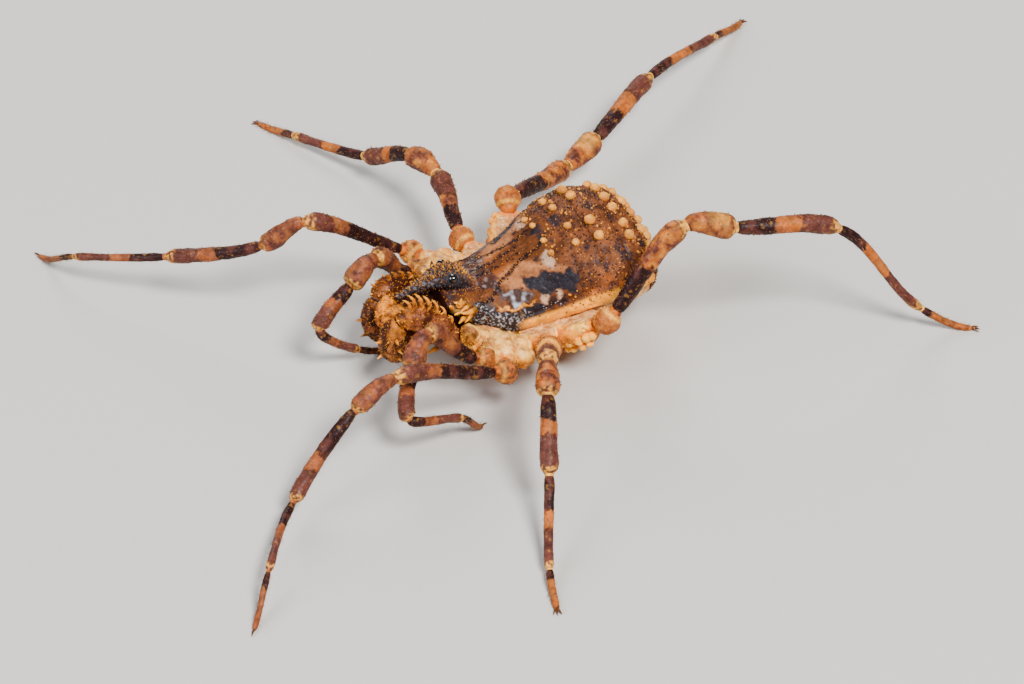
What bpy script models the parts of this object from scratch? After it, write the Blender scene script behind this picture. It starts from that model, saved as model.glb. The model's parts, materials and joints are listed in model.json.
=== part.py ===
"""A small harvestman with a forward horn over its eyes, at life size, standing on its eight feet.

The head points along -X and the left side along -Y, and the floor is at Z = 0.
Everything is in metres, which mm() makes from millimetres.
"""

import math
import random

import bmesh
import bpy
from mathutils import Vector

NAME = "triaenobunus_cornutus"


def mm(*values):
    """Millimetres in metres: one number, or a tuple of them."""
    scaled = tuple(value * 0.001 for value in values)
    return scaled if len(scaled) > 1 else scaled[0]


# Driving dimensions of the whole animal
GAP = mm(0.03)
BODY_PLACE = mm(-0.38, -0.27, 0.0)
SECTION_SIDES = 26

# Back shield: place along the body, half width, top and rim height
SHIELD_STATIONS = (
    mm(-1.28, 0.43, 1.49, 1.36),
    mm(-0.90, 0.65, 1.49, 1.12),
    mm(-0.30, 0.86, 1.55, 0.90),
    mm(0.30, 0.99, 1.79, 0.94),
    mm(0.90, 1.18, 2.10, 1.12),
    mm(1.50, 1.25, 2.17, 1.19),
    mm(2.02, 1.14, 1.95, 1.21),
)
SHIELD_RINGS = 18
RIM_DEPTH = mm(0.08)
BEAD_SIDES = 7
# Rows of beads on the shield: place along it, places across one half, and radius
SHIELD_BEADS = (
    (mm(0.53), mm(0.21, 0.46), mm(0.055)),
    (mm(0.91), mm(0.25, 0.56), mm(0.062)),
    (mm(1.28), mm(0.34, 0.64), mm(0.090)),
    (mm(1.79), mm(0.15, 0.48, 0.72), mm(0.086)),
)
# Spikes at the shield's front corners: root, and how far the tip is from it
SHIELD_SPIKES = (
    (mm(-1.14, 0.46, 1.38), mm(-0.10, 0.10, 0.14)),
    (mm(-0.98, 0.56, 1.30), mm(-0.08, 0.15, 0.12)),
)
SHIELD_SPIKE_RADIUS = mm(0.055)

# Tail plates behind the shield: place, half width, top, widest height, bottom
TAIL_STATIONS = (
    mm(2.050, 1.07, 1.90, 1.24, 0.50),
    mm(2.135, 1.00, 1.81, 1.20, 0.52),
    mm(2.155, 0.96, 1.75, 1.19, 0.53),
    mm(2.240, 0.85, 1.64, 1.14, 0.58),
    mm(2.260, 0.81, 1.58, 1.12, 0.60),
    mm(2.340, 0.62, 1.43, 1.06, 0.72),
    mm(2.390, 0.38, 1.28, 1.02, 0.84),
)
TAIL_BEADS = (
    (mm(2.10), mm(0.16, 0.50, 0.80), mm(0.075)),
    (mm(2.20), mm(0.20, 0.52), mm(0.066)),
    (mm(2.30), mm(0.24,), mm(0.055)),
)

# Belly: place, half width, top, widest height, bottom
BELLY_STATIONS = (
    mm(-1.16, 0.44, 1.36, 0.98, 0.68),
    mm(-0.95, 0.62, 1.34, 0.92, 0.55),
    mm(-0.50, 0.80, 1.30, 0.88, 0.48),
    mm(0.10, 0.92, 1.30, 0.88, 0.46),
    mm(0.80, 1.06, 1.40, 0.95, 0.45),
    mm(1.45, 1.12, 1.45, 1.00, 0.47),
    mm(2.02, 1.03, 1.45, 1.05, 0.55),
)
BELLY_RINGS = 12
BELLY_SIDES = 20
# Lobes over the first two hips: place and radius, on the right side
HIP_LOBES = (
    (mm(-1.09, 0.83, 1.07), mm(0.150)),
    (mm(-0.83, 1.18, 1.11), mm(0.125)),
)
# Warts on the last hip: share of its length, turn round it in degrees, and radius
HIP_WARTS = (
    (0.41, -27, mm(0.050)),
    (0.56, -31, mm(0.055)),
    (0.71, -25, mm(0.058)),
    (0.845, -29, mm(0.050)),
    (0.485, -53, mm(0.052)),
    (0.635, -57, mm(0.056)),
    (0.785, -51, mm(0.050)),
)

# Eye mound and horn: place, half width, top, widest height, bottom
HOOD_STATIONS = (
    mm(-0.66, 0.20, 1.57, 1.50, 1.36),
    mm(-0.82, 0.25, 1.69, 1.58, 1.38),
    mm(-0.98, 0.265, 1.80, 1.65, 1.40),
    mm(-1.14, 0.25, 1.83, 1.68, 1.46),
    mm(-1.30, 0.20, 1.80, 1.68, 1.53),
    mm(-1.46, 0.145, 1.745, 1.66, 1.555),
    mm(-1.62, 0.105, 1.70, 1.63, 1.555),
    mm(-1.78, 0.075, 1.65, 1.59, 1.535),
    mm(-1.91, 0.045, 1.59, 1.555, 1.52),
    mm(-1.98, 0.018, 1.545, 1.53, 1.515),
)
HOOD_RINGS = 16
HOOD_SIDES = 16
HOOD_GRANULES = 14
EYE_RADIUS = mm(0.072)
EYE_PLACE = mm(-1.08, 0.205, 1.725)

# Legs: the ball joint's centre on the right side, the hip's inner end, and their radii
LEG_ROOTS = {
    1: mm(-1.01, 1.23, 0.84),
    2: mm(-0.89, 1.67, 0.84),
    3: mm(-0.06, 1.53, 0.90),
    4: mm(0.87, 1.73, 1.26),
}
HIP_INNER = {
    1: mm(-0.90, 0.40, 0.84),
    2: mm(-0.45, 0.55, 0.80),
    3: mm(0.05, 0.60, 0.78),
    4: mm(0.47, 0.72, 0.70),
}
HIP_RADIUS = {1: mm(0.23), 2: mm(0.25), 3: mm(0.27), 4: mm(0.31)}
BALL_RADIUS = {1: mm(0.18), 2: mm(0.20), 3: mm(0.21), 4: mm(0.215)}

# Long joints of each leg: lengths of femur, patella, tibia, metatarsus and tarsus
LEG_PARTS = ("femur", "patella", "tibia", "metatarsus", "tarsus")
LEG_LENGTHS = {
    1: mm(1.04, 0.62, 0.84, 1.01, 0.64),
    2: mm(1.95, 0.80, 1.71, 1.70, 0.98),
    3: mm(1.26, 0.69, 1.27, 1.56, 0.77),
    4: mm(1.77, 0.83, 1.72, 2.24, 0.90),
}
LEG_WIDTHS = {1: 0.90, 2: 0.78, 3: 0.94, 4: 0.98}

# Stance: the compass heading of each joint, the rise of the first three, and the ankle's height
STANCE = {
    "left_1": ((171, 214, 241, 3, 21), (41, -34, -26), mm(0.48)),
    "left_2": ((184, 190, 201, 232, 230), (20, -19, -34), mm(0.42)),
    "left_3": ((242, 243, 244, 243, 251), (31, -5, -36), mm(0.15)),
    "left_4": ((0, 347, 346, 338, 331), (46, -14, -11), mm(0.41)),
    "right_1": ((198, 202, 202, 4, 4), (43, -19, -31), mm(0.25)),
    "right_2": ((174, 155, 139, 132, 108), (32, -34, -19), mm(0.50)),
    "right_3": ((80, 101, 107, 115, 115), (10, -5, -30), mm(0.15)),
    "right_4": ((32, 28, 31, 31, 31), (-18, 3, 5), mm(0.29)),
}

# Outline of each long joint: share of its length, and its radius in mm before the leg's own width
OUTLINES = {
    "femur": ((0, 0.100), (0.10, 0.125), (0.35, 0.142), (0.65, 0.166), (0.88, 0.185), (1, 0.120)),
    "patella": ((0, 0.112), (0.18, 0.150), (0.50, 0.190), (0.78, 0.205), (0.93, 0.180), (1, 0.110)),
    "tibia": ((0, 0.095), (0.12, 0.125), (0.40, 0.140), (0.70, 0.150), (0.90, 0.150), (1, 0.090)),
    "metatarsus": ((0, 0.078), (0.10, 0.090), (0.35, 0.084), (0.70, 0.077), (0.93, 0.082), (1, 0.062)),
    "tarsus": ((0, 0.058), (0.15, 0.066), (0.40, 0.063), (0.65, 0.060), (0.88, 0.055), (1, 0.042)),
}
FEMUR_DIP = {1: 24, 2: 0, 3: 0, 4: 0}
SOLE_HEIGHT = 0.8
CLAW_LENGTH = mm(0.13)
CLAW_RADIUS = mm(0.022)
CLAW_SPREAD = 32
FEMUR_WARTS = 5
WART_RADIUS = mm(0.030)
WART_HEIGHT = mm(0.035)

# Palps, on the right side: places and radii from the root over the arch and down the folded hand
PALP = (
    (mm(-1.08, 0.56, 0.80), mm(0.13)),
    (mm(-1.27, 0.61, 0.83), mm(0.17)),
    (mm(-1.47, 0.63, 1.14), mm(0.195)),
    (mm(-1.70, 0.60, 1.38), mm(0.20)),
    (mm(-1.95, 0.53, 1.49), mm(0.19)),
    (mm(-2.13, 0.46, 1.42), mm(0.150)),
    (mm(-2.24, 0.43, 1.22), mm(0.190)),
    (mm(-2.27, 0.405, 0.98), mm(0.195)),
    (mm(-2.18, 0.39, 0.76), mm(0.160)),
    (mm(-2.05, 0.38, 0.66), mm(0.085)),
)
PALP_KNEE = 5
PALP_STEPS = 3
# The right palp hangs lower: how far its front is turned down in degrees, and how far it is moved
PALP_DROP = 9
PALP_SHIFT = mm(0.12, -0.02, -0.05)
# Comb over the arch: station, length, lean forward, and radius; all lean inward
PALP_COMB = (
    (1.75, mm(0.22), mm(-0.03), mm(0.056)),
    (2.15, mm(0.26), mm(-0.06), mm(0.060)),
    (2.55, mm(0.29), mm(-0.08), mm(0.064)),
    (2.95, mm(0.30), mm(-0.09), mm(0.066)),
    (3.38, mm(0.29), mm(-0.09), mm(0.066)),
    (3.90, mm(0.23), mm(-0.04), mm(0.072)),
)
COMB_INWARD = mm(0.13)
# Spears under the arch: station, and how far the tip is from the arm's middle
PALP_SPEARS = (
    (1.24, mm(-0.42, -0.06, -0.20)),
    (1.66, mm(-0.40, -0.04, -0.12)),
    (2.10, mm(-0.34, 0.00, -0.16)),
)
SPEAR_RADIUS = mm(0.062)
# Spikes of the hand: station, and how far the tip is from its middle
HAND_SPIKES = (
    (6.1, mm(-0.05, 0.30, 0.03)),
    (6.9, mm(0.06, 0.30, -0.02)),
    (7.5, mm(0.02, 0.26, -0.06)),
    (6.5, mm(-0.30, 0.05, 0.06)),
    (7.3, mm(-0.28, 0.04, -0.10)),
)
HAND_SPIKE_RADIUS = mm(0.045)
# Claw of the hand, folded back on its outer side
PALP_CLAW = (
    (mm(-2.36, 0.53, 0.98), mm(0.045)),
    (mm(-2.39, 0.59, 1.08), mm(0.034)),
    (mm(-2.34, 0.61, 1.20), mm(0.022)),
    (mm(-2.26, 0.61, 1.28), mm(0.010)),
)

# Jaws, on the right side: the arm under the horn and the hand that hangs from it
JAW = (
    (mm(-1.08, 0.150, 1.12), mm(0.115)),
    (mm(-1.50, 0.150, 1.22), mm(0.130)),
    (mm(-1.88, 0.140, 1.32), mm(0.125)),
    (mm(-2.08, 0.125, 1.36), mm(0.110)),
    (mm(-2.19, 0.105, 1.24), mm(0.088)),
    (mm(-2.21, 0.095, 1.06), mm(0.075)),
    (mm(-2.16, 0.090, 0.92), mm(0.030)),
)
JAW_FINGER = (
    (mm(-2.17, 0.095, 1.08), mm(0.050)),
    (mm(-2.08, 0.092, 0.99), mm(0.034)),
    (mm(-2.09, 0.090, 0.90), mm(0.012)),
)

COLOURS = {
    "shell": ((0.30, 0.16, 0.08), 0.45),
    "belly": ((0.62, 0.44, 0.26), 0.55),
    "hood": ((0.13, 0.08, 0.05), 0.5),
    "eye": ((0.01, 0.01, 0.01), 0.08),
    "palp": ((0.40, 0.22, 0.13), 0.5),
    "joint": ((0.55, 0.34, 0.16), 0.5),
    "leg": ((0.24, 0.12, 0.09), 0.5),
    "foot": ((0.20, 0.12, 0.08), 0.55),
}


def material(name):
    """The finish of one kind of surface, made once."""
    if name in bpy.data.materials:
        return bpy.data.materials[name]
    colour, roughness = COLOURS[name]
    made = bpy.data.materials.new(name)
    made.use_nodes = True
    shader = made.node_tree.nodes["Principled BSDF"]
    shader.inputs["Base Color"].default_value = (*colour, 1.0)
    shader.inputs["Roughness"].default_value = roughness
    shader.inputs["Metallic"].default_value = 0.0
    return made


def clear_scene():
    for old in list(bpy.data.objects):
        bpy.data.objects.remove(old, do_unlink=True)


def new_collection(name, hidden=False):
    made = bpy.data.collections.new(name)
    made.hide_render = hidden
    bpy.context.scene.collection.children.link(made)
    return made


def mirrored(point, side):
    """A place given on the right side, on the side asked for."""
    return Vector((point[0], point[1] * side, point[2]))


def direction(heading, rise):
    """A unit vector from a compass heading and a rise in degrees."""
    turn, lift = math.radians(heading), math.radians(rise)
    return Vector((math.cos(turn) * math.cos(lift), math.sin(turn) * math.cos(lift), math.sin(lift)))


def along(table, place):
    """Values at a place between the stations of a table, on a smooth curve through them."""
    count = len(table)
    ascending = table[-1][0] > table[0][0]
    index = 0
    while index < count - 2 and (place > table[index + 1][0]) == ascending:
        index += 1
    start, end = table[index], table[index + 1]
    before = table[max(index - 1, 0)]
    after = table[min(index + 2, count - 1)]
    share = (place - start[0]) / (end[0] - start[0])
    square, cube = share**2, share**3
    values = []
    for column in range(1, len(start)):
        slope_in = (end[column] - before[column]) / (end[0] - before[0]) * (end[0] - start[0])
        slope_out = (after[column] - start[column]) / (after[0] - start[0]) * (end[0] - start[0])
        values.append(
            (2 * cube - 3 * square + 1) * start[column]
            + (cube - 2 * square + share) * slope_in
            + (3 * square - 2 * cube) * end[column]
            + (cube - square) * slope_out
        )
    return values


def spread(start, end, count):
    """Places from start to end, closer together near both ends."""
    middle, half = (start + end) / 2, (end - start) / 2
    return [middle - half * math.cos(math.pi * step / (count - 1)) for step in range(count)]


def mesh_object(name, shape, finish, collection):
    """A bmesh as an object of a collection, with its faces out."""
    bmesh.ops.recalc_face_normals(shape, faces=shape.faces)
    mesh = bpy.data.meshes.new(name)
    shape.to_mesh(mesh)
    shape.free()
    mesh.materials.append(material(finish))
    made = bpy.data.objects.new(name, mesh)
    collection.objects.link(made)
    return made


def loft(name, rings, finish, collection):
    """A closed skin over rings of equally many points, with a flat cap at both ends."""
    shape = bmesh.new()
    rows = [[shape.verts.new(point) for point in ring] for ring in rings]
    for first, second in zip(rows, rows[1:]):
        for side in range(len(first)):
            following = (side + 1) % len(first)
            shape.faces.new((first[side], first[following], second[following], second[side]))
    shape.faces.new(reversed(rows[0]))
    shape.faces.new(rows[-1])
    return mesh_object(name, shape, finish, collection)


def dome_ring(place, width, top, middle, bottom, sides=SECTION_SIDES):
    """A cross-section with a domed back, a widest line and a domed lower side."""
    ring = []
    for side in range(sides):
        angle = 2 * math.pi * side / sides
        height = math.sin(angle)
        reach = top - middle if height > 0 else middle - bottom
        ring.append(Vector((place, width * math.cos(angle), middle + reach * height)))
    return ring


def shield_ring(place, grown=0.0):
    """The back shield's cross-section: a dome over a shallow rim."""
    width, top, rim = along(SHIELD_STATIONS, place)
    return dome_ring(place, width + grown, top + grown, rim, rim - RIM_DEPTH - grown)


def dome_point(stations, place, across):
    """A place on the upper side of a row of domed cross-sections."""
    width, top, middle = along(stations, place)[:3]
    height = math.sqrt(max(1 - (across / width) ** 2, 0))
    return Vector((place, across, middle + (top - middle) * height))


def tube(name, points, finish, collection, resolution=2):
    """A round limb through points with radii, made as a curve and turned into a closed mesh."""
    curve = bpy.data.curves.new(name, "CURVE")
    curve.dimensions = "3D"
    curve.bevel_depth = 1.0
    curve.bevel_resolution = resolution
    curve.use_fill_caps = True
    spline = curve.splines.new("POLY")
    spline.points.add(len(points) - 1)
    for target, (place, radius) in zip(spline.points, points):
        target.co = (*place, 1.0)
        target.radius = radius
    guide = bpy.data.objects.new(name + "_guide", curve)
    collection.objects.link(guide)
    bpy.context.view_layer.update()
    solid = guide.evaluated_get(bpy.context.evaluated_depsgraph_get())
    mesh = bpy.data.meshes.new_from_object(solid)
    mesh.name = name
    shape = bmesh.new()
    shape.from_mesh(mesh)
    bmesh.ops.remove_doubles(shape, verts=shape.verts, dist=mm(0.0002))
    bmesh.ops.recalc_face_normals(shape, faces=shape.faces)
    shape.to_mesh(mesh)
    shape.free()
    mesh.materials.clear()
    mesh.materials.append(material(finish))
    made = bpy.data.objects.new(name, mesh)
    made.matrix_world = guide.matrix_world
    collection.objects.link(made)
    bpy.data.objects.remove(guide, do_unlink=True)
    bpy.data.curves.remove(curve)
    return made


def ball(name, place, radius, finish, collection, sides=14):
    shape = bmesh.new()
    bmesh.ops.create_uvsphere(shape, u_segments=sides, v_segments=sides // 2, radius=radius)
    bmesh.ops.translate(shape, verts=shape.verts, vec=place)
    return mesh_object(name, shape, finish, collection)


def spike(name, root, tip, radius, finish, collection, curl=(0, 0, 0), resolution=1):
    """A tapered spine from its sunk root to its tip, bent by curl in the middle."""
    middle = root.lerp(tip, 0.55) + Vector(curl)
    points = [(root, radius), (middle, radius * 0.72), (tip, radius * 0.16)]
    return tube(name, points, finish, collection, resolution)


def limb_point(stations, place):
    """Place and radius at a station, whole or between, of a smooth limb."""
    table = [(index, *spot, radius) for index, (spot, radius) in enumerate(stations)]
    values = along(table, place)
    return Vector(values[:3]), values[3]


def palp_stations(table, side):
    """Places and radii of a palp's table on one side, the right one turned down about its root."""
    if side < 0:
        return [(mirrored(place, side), radius) for place, radius in table]
    root = Vector(PALP[0][0])
    turn = math.radians(PALP_DROP)
    made = []
    for place, radius in table:
        away = Vector(place) - root
        ahead = away.x * math.cos(turn) - away.z * math.sin(turn)
        rise = away.z * math.cos(turn) + away.x * math.sin(turn)
        made.append((root + Vector((ahead, away.y, rise)) + Vector(PALP_SHIFT), radius))
    return made


def limb_way(stations, place):
    """The unit vector along a smooth limb at a station."""
    step = 0.02
    return (limb_point(stations, place + step)[0] - limb_point(stations, place - step)[0]).normalized()


def limb_points(stations, start, end, count):
    """Points with radii of a smooth limb between two of its stations."""
    return [limb_point(stations, start + (end - start) * step / (count - 1)) for step in range(count)]


def fuse(body, pieces, solver="EXACT"):
    """Joins pieces to a body in one union, and keeps its largest closed surface."""
    group = bpy.data.collections.new(body.name + "_pieces")
    bpy.context.scene.collection.children.link(group)
    for piece in pieces:
        for old in piece.users_collection:
            old.objects.unlink(piece)
        group.objects.link(piece)
    union = body.modifiers.new("union", "BOOLEAN")
    union.operation = "UNION"
    union.operand_type = "COLLECTION"
    union.collection = group
    union.solver = solver
    apply_modifiers(body)
    for piece in pieces:
        bpy.data.objects.remove(piece, do_unlink=True)
    bpy.data.collections.remove(group)
    keep_largest(body)
    return body


def cut(body, cutter, hidden):
    """Takes a cutter away from a body, and keeps the cutter hidden with the others."""
    if hidden not in cutter.users_collection:
        for old in cutter.users_collection:
            old.objects.unlink(cutter)
        hidden.objects.link(cutter)
    cutter.hide_render = True
    cutter.display_type = "WIRE"
    difference = body.modifiers.new("cut", "BOOLEAN")
    difference.operation = "DIFFERENCE"
    difference.object = cutter
    apply_modifiers(body)
    keep_largest(body)
    return body


def apply_modifiers(body):
    """Puts the result of a body's modifiers in its mesh."""
    bpy.context.view_layer.update()
    solid = body.evaluated_get(bpy.context.evaluated_depsgraph_get())
    mesh = bpy.data.meshes.new_from_object(solid)
    old = body.data
    body.modifiers.clear()
    body.data = mesh
    bpy.data.meshes.remove(old)


def keep_largest(body):
    """Drops every closed surface of a body's mesh but the largest."""
    shape = bmesh.new()
    shape.from_mesh(body.data)
    unseen = set(shape.verts)
    islands = []
    while unseen:
        island = {unseen.pop()}
        front = list(island)
        while front:
            vert = front.pop()
            for link in vert.link_edges:
                other = link.other_vert(vert)
                if other in unseen:
                    unseen.remove(other)
                    island.add(other)
                    front.append(other)
        islands.append(island)
    islands.sort(key=reach_of, reverse=True)
    for island in islands[1:]:
        bmesh.ops.delete(shape, geom=list(island), context="VERTS")
    shape.to_mesh(body.data)
    shape.free()


def reach_of(island):
    """The size of the box around some vertices."""
    lows = [min(vert.co[axis] for vert in island) for axis in range(3)]
    highs = [max(vert.co[axis] for vert in island) for axis in range(3)]
    return sum(high - low for low, high in zip(lows, highs))


def leg_joints(leg):
    """The six joint centres of a leg, from its ball joint's side to its claw."""
    number = int(leg[-1])
    side = -1 if leg.startswith("left") else 1
    headings, rises, ankle = STANCE[leg]
    lengths = LEG_LENGTHS[number]
    root = mirrored(LEG_ROOTS[number], side)
    place = root + first_way(leg) * BALL_RADIUS[number]
    joints = [place]
    for step in range(3):
        place = place + direction(headings[step], rises[step]) * lengths[step]
        joints.append(place)
    sole = SOLE_HEIGHT * mm(OUTLINES["tarsus"][-1][1]) * LEG_WIDTHS[number]
    for step, height in ((3, ankle), (4, sole)):
        fall = math.degrees(math.asin((height - place.z) / lengths[step]))
        place = place + direction(headings[step], fall) * lengths[step]
        joints.append(place)
    return joints


def first_way(leg):
    """The way a femur leaves its ball joint, flatter than its chord where the femur sags."""
    headings, rises, ankle = STANCE[leg]
    return direction(headings[0], rises[0] - FEMUR_DIP[int(leg[-1])])


def joint_ways(leg, joints):
    """The way a leg's centre line runs through each joint: half way between its neighbours."""
    ways = [(end - start).normalized() for start, end in zip(joints, joints[1:])]
    inner = [(first + second).normalized() for first, second in zip(ways, ways[1:])]
    flat = Vector((ways[-1].x, ways[-1].y, 0.0)).normalized()
    return [first_way(leg), *inner, flat]


def bent(start, end, start_way, end_way, share, radius):
    """A place on the bent centre line between two joints."""
    length = (end - start).length
    chord = (end - start).normalized()
    start_arm = length / 3 * max(chord.dot(start_way), 0) ** 2 + radius / 2
    end_arm = length / 3 * max(chord.dot(end_way), 0) ** 2 + radius / 2
    first, second = start + start_way * start_arm, end - end_way * end_arm
    rest = 1 - share
    return (
        start * rest**3
        + first * (3 * rest**2 * share)
        + second * (3 * rest * share**2)
        + end * share**3
    )


def leg_points(leg, step):
    """Points and radii along one long joint of a leg."""
    joints = leg_joints(leg)
    ways = joint_ways(leg, joints)
    width = LEG_WIDTHS[int(leg[-1])]
    start = joints[step] + ways[step] * GAP / 2
    end = joints[step + 1] - ways[step + 1] * GAP / 2
    points = []
    for share, radius in OUTLINES[LEG_PARTS[step]]:
        wide = mm(radius) * width
        points.append((bent(start, end, ways[step], ways[step + 1], share, wide), wide))
    lead = mm(0.012)
    points.insert(1, (start + ways[step] * lead, points[0][1]))
    points.insert(-1, (end - ways[step + 1] * lead, points[-1][1]))
    return points


def make_leg(leg, collection, draw):
    """The ball joint and the five long joints of one leg."""
    number = int(leg[-1])
    side = -1 if leg.startswith("left") else 1
    root = mirrored(LEG_ROOTS[number], side)
    inward = (mirrored(HIP_INNER[number], side) - root).normalized()
    joints = leg_joints(leg)
    outward = first_way(leg)
    radius = BALL_RADIUS[number]
    points = [
        (root + inward * radius * 0.95, radius * 0.62),
        (root + inward * radius * 0.60, radius * 0.88),
        (root, radius),
        (root + outward * radius * 0.60, radius * 0.84),
        (joints[0] - outward * GAP / 2, radius * 0.56),
    ]
    tube(f"trochanter_{leg}", points, "joint", collection)
    for step, part in enumerate(LEG_PARTS):
        finish = "foot" if step > 2 else "leg"
        made = tube(f"{part}_{leg}", leg_points(leg, step), finish, collection)
        if part == "femur":
            fuse(made, femur_warts(leg, collection, draw))
        if part == "tarsus":
            fuse(made, claws(leg, collection))
            flatten_sole(made)


def femur_warts(leg, collection, draw):
    """Pointed granules in two rows along the upper side of a femur."""
    points = leg_points(leg, 0)[1:-1]
    made = []
    for row in (-1, 1):
        for step in range(FEMUR_WARTS):
            place = 1 + (len(points) - 3) * (step + 0.5 + 0.3 * draw.uniform(-1, 1)) / FEMUR_WARTS
            centre, radius = limb_point(points, place)
            way = limb_way(points, place)
            flank = way.cross(Vector((0, 0, 1))).normalized()
            out = (flank.cross(way) + flank * row * 0.75).normalized()
            tip = centre + out * (radius + WART_HEIGHT * draw.uniform(0.8, 1.3)) + way * mm(0.02)
            name = f"wart_{leg}_{row}_{step}"
            root = centre + out * radius * 0.6
            made.append(spike(name, root, tip, WART_RADIUS, "leg", collection, resolution=0))
    return made


def claws(leg, collection):
    """One claw on the front four feet, and a claw of three prongs on the rear four."""
    joints = leg_joints(leg)
    end = joints[-1]
    way = joint_ways(leg, joints)[-1]
    across = way.cross(Vector((0, 0, 1))).normalized()
    turns = (0,) if int(leg[-1]) < 3 else (-CLAW_SPREAD, 0, CLAW_SPREAD)
    made = []
    for turn in turns:
        reach = way * math.cos(math.radians(turn)) + across * math.sin(math.radians(turn))
        root = end - way * mm(0.05) + Vector((0, 0, mm(0.004)))
        tip = end + reach * CLAW_LENGTH
        tip.z = mm(0.010)
        name = f"claw_{leg}_{turn}"
        made.append(spike(name, root, tip, CLAW_RADIUS, "foot", collection, mm(0, 0, 0.008), 0))
    return made


def flatten_sole(foot):
    """Cuts the underside of a foot level with the floor."""
    shape = bmesh.new()
    shape.from_mesh(foot.data)
    geometry = [*shape.verts, *shape.edges, *shape.faces]
    bmesh.ops.bisect_plane(
        shape, geom=geometry, plane_co=(0, 0, 0), plane_no=(0, 0, 1), clear_inner=True
    )
    rim = [edge for edge in shape.edges if edge.is_boundary]
    if rim:
        bmesh.ops.contextual_create(shape, geom=rim)
    bmesh.ops.recalc_face_normals(shape, faces=shape.faces)
    shape.to_mesh(foot.data)
    shape.free()


def bead_rows(stations, rows, finish, collection):
    """Round beads in rows across both halves of a dome, half sunk in it."""
    made = []
    for place, halves, radius in rows:
        for across in halves if isinstance(halves, tuple) else (halves,):
            for side in (-1, 1):
                spot = dome_point(stations, place, across * side)
                name = f"bead_{len(made)}"
                made.append(ball(name, spot, radius, finish, collection, sides=BEAD_SIDES))
    return made


def make_shield(collection):
    start, end = SHIELD_STATIONS[0][0], SHIELD_STATIONS[-1][0]
    rings = [shield_ring(place) for place in spread(start, end, SHIELD_RINGS)]
    shield = loft("shield", rings, "shell", collection)
    pieces = bead_rows(SHIELD_STATIONS, SHIELD_BEADS, "shell", collection)
    for index, (root, reach) in enumerate(SHIELD_SPIKES):
        for side in (-1, 1):
            start = mirrored(root, side)
            tip = start + mirrored(reach, side)
            name = f"corner_{index}_{side}"
            pieces.append(spike(name, start, tip, SHIELD_SPIKE_RADIUS, "shell", collection))
    return fuse(shield, pieces)


def make_tail(collection):
    rings = [dome_ring(*station) for station in TAIL_STATIONS]
    tail = loft("tail_plates", rings, "shell", collection)
    return fuse(tail, bead_rows(TAIL_STATIONS, TAIL_BEADS, "shell", collection))


def make_belly(name, collection, grown=0.0):
    """The underside with its eight hips, or a cutter that is grown all round."""
    rings = []
    start, end = BELLY_STATIONS[0][0] - grown, BELLY_STATIONS[-1][0] + grown
    for place in spread(start, end, BELLY_RINGS):
        width, top, middle, bottom = along(BELLY_STATIONS, place)
        rings.append(dome_ring(place, width + grown, top + grown, middle, bottom - grown, BELLY_SIDES))
    belly = loft(name, rings, "belly", collection)
    pieces = []
    for number in LEG_ROOTS:
        for side in (-1, 1):
            pieces.append(make_hip(number, side, grown, collection))
    for index, (place, radius) in enumerate(HIP_LOBES):
        for side in (-1, 1):
            spot = mirrored(place, side)
            pieces.append(ball(f"lobe_{index}_{side}", spot, radius + grown, "belly", collection, 10))
    if not grown:
        pieces += hip_warts(collection)
    return fuse(belly, pieces)


def hip_stations(number, side, grown=0.0):
    """Places and radii of one hip, from inside the belly to the face that its ball joint meets."""
    root = mirrored(LEG_ROOTS[number], side)
    inner = mirrored(HIP_INNER[number], side)
    outward = (root - inner).normalized()
    end = root - outward * (BALL_RADIUS[number] * 0.95 + GAP - grown)
    radius = HIP_RADIUS[number] + grown
    return [
        (inner, radius * 0.85),
        (inner.lerp(end, 0.40), radius),
        (inner.lerp(end, 0.78), radius * 0.92),
        (end, BALL_RADIUS[number] * 0.70 + grown),
    ]


def make_hip(number, side, grown, collection):
    stations = hip_stations(number, side, grown)
    points = limb_points(stations, 0, 3, 7)
    return tube(f"hip_{number}_{side}", points, "belly", collection)


def hip_warts(collection):
    """Round warts on the lower front of the last hip."""
    made = []
    for side in (-1, 1):
        stations = hip_stations(4, side)
        for index, (share, turn, radius) in enumerate(HIP_WARTS):
            centre, reach = limb_point(stations, 3 * share)
            way = limb_way(stations, 3 * share)
            front = way.cross(Vector((0, 0, 1))).normalized() * side
            up = Vector((0, 0, 1)) - way * way.z
            angle = math.radians(turn)
            out = (-front * math.cos(angle) + up.normalized() * math.sin(angle)).normalized()
            spot = centre + out * reach * 0.95
            made.append(ball(f"wart_{side}_{index}", spot, radius, "belly", collection, 6))
    return made


def hood_ring(place):
    width, top, middle, bottom = along(HOOD_STATIONS, place)
    return dome_ring(place, width, top, middle, bottom, HOOD_SIDES)


def make_hood(collection, hidden, shield_seat, draw):
    """The eye mound with its horn, cut to sit on the shield."""
    start, end = HOOD_STATIONS[0][0], HOOD_STATIONS[-1][0]
    rings = [hood_ring(place) for place in spread(start, end, HOOD_RINGS)]
    hood = loft("hood", rings, "hood", collection)
    made = []
    for step in range(HOOD_GRANULES):
        place = mm(draw.uniform(-1.75, -0.85))
        width, top, middle, bottom = along(HOOD_STATIONS, place)
        spot = dome_point(HOOD_STATIONS, place, width * draw.uniform(-0.65, 0.65))
        tip = spot + Vector(mm(-0.012, 0, 0.04))
        root = spot - Vector(mm(0, 0, 0.03))
        made.append(spike(f"granule_{step}", root, tip, mm(0.026), "hood", collection, resolution=0))
    fuse(hood, made)
    cut(hood, shield_seat, hidden)
    for side in (-1, 1):
        socket = ball(f"socket_{side}", mirrored(EYE_PLACE, side), EYE_RADIUS + GAP, "hood", collection)
        cut(hood, socket, hidden)
    return hood


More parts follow.
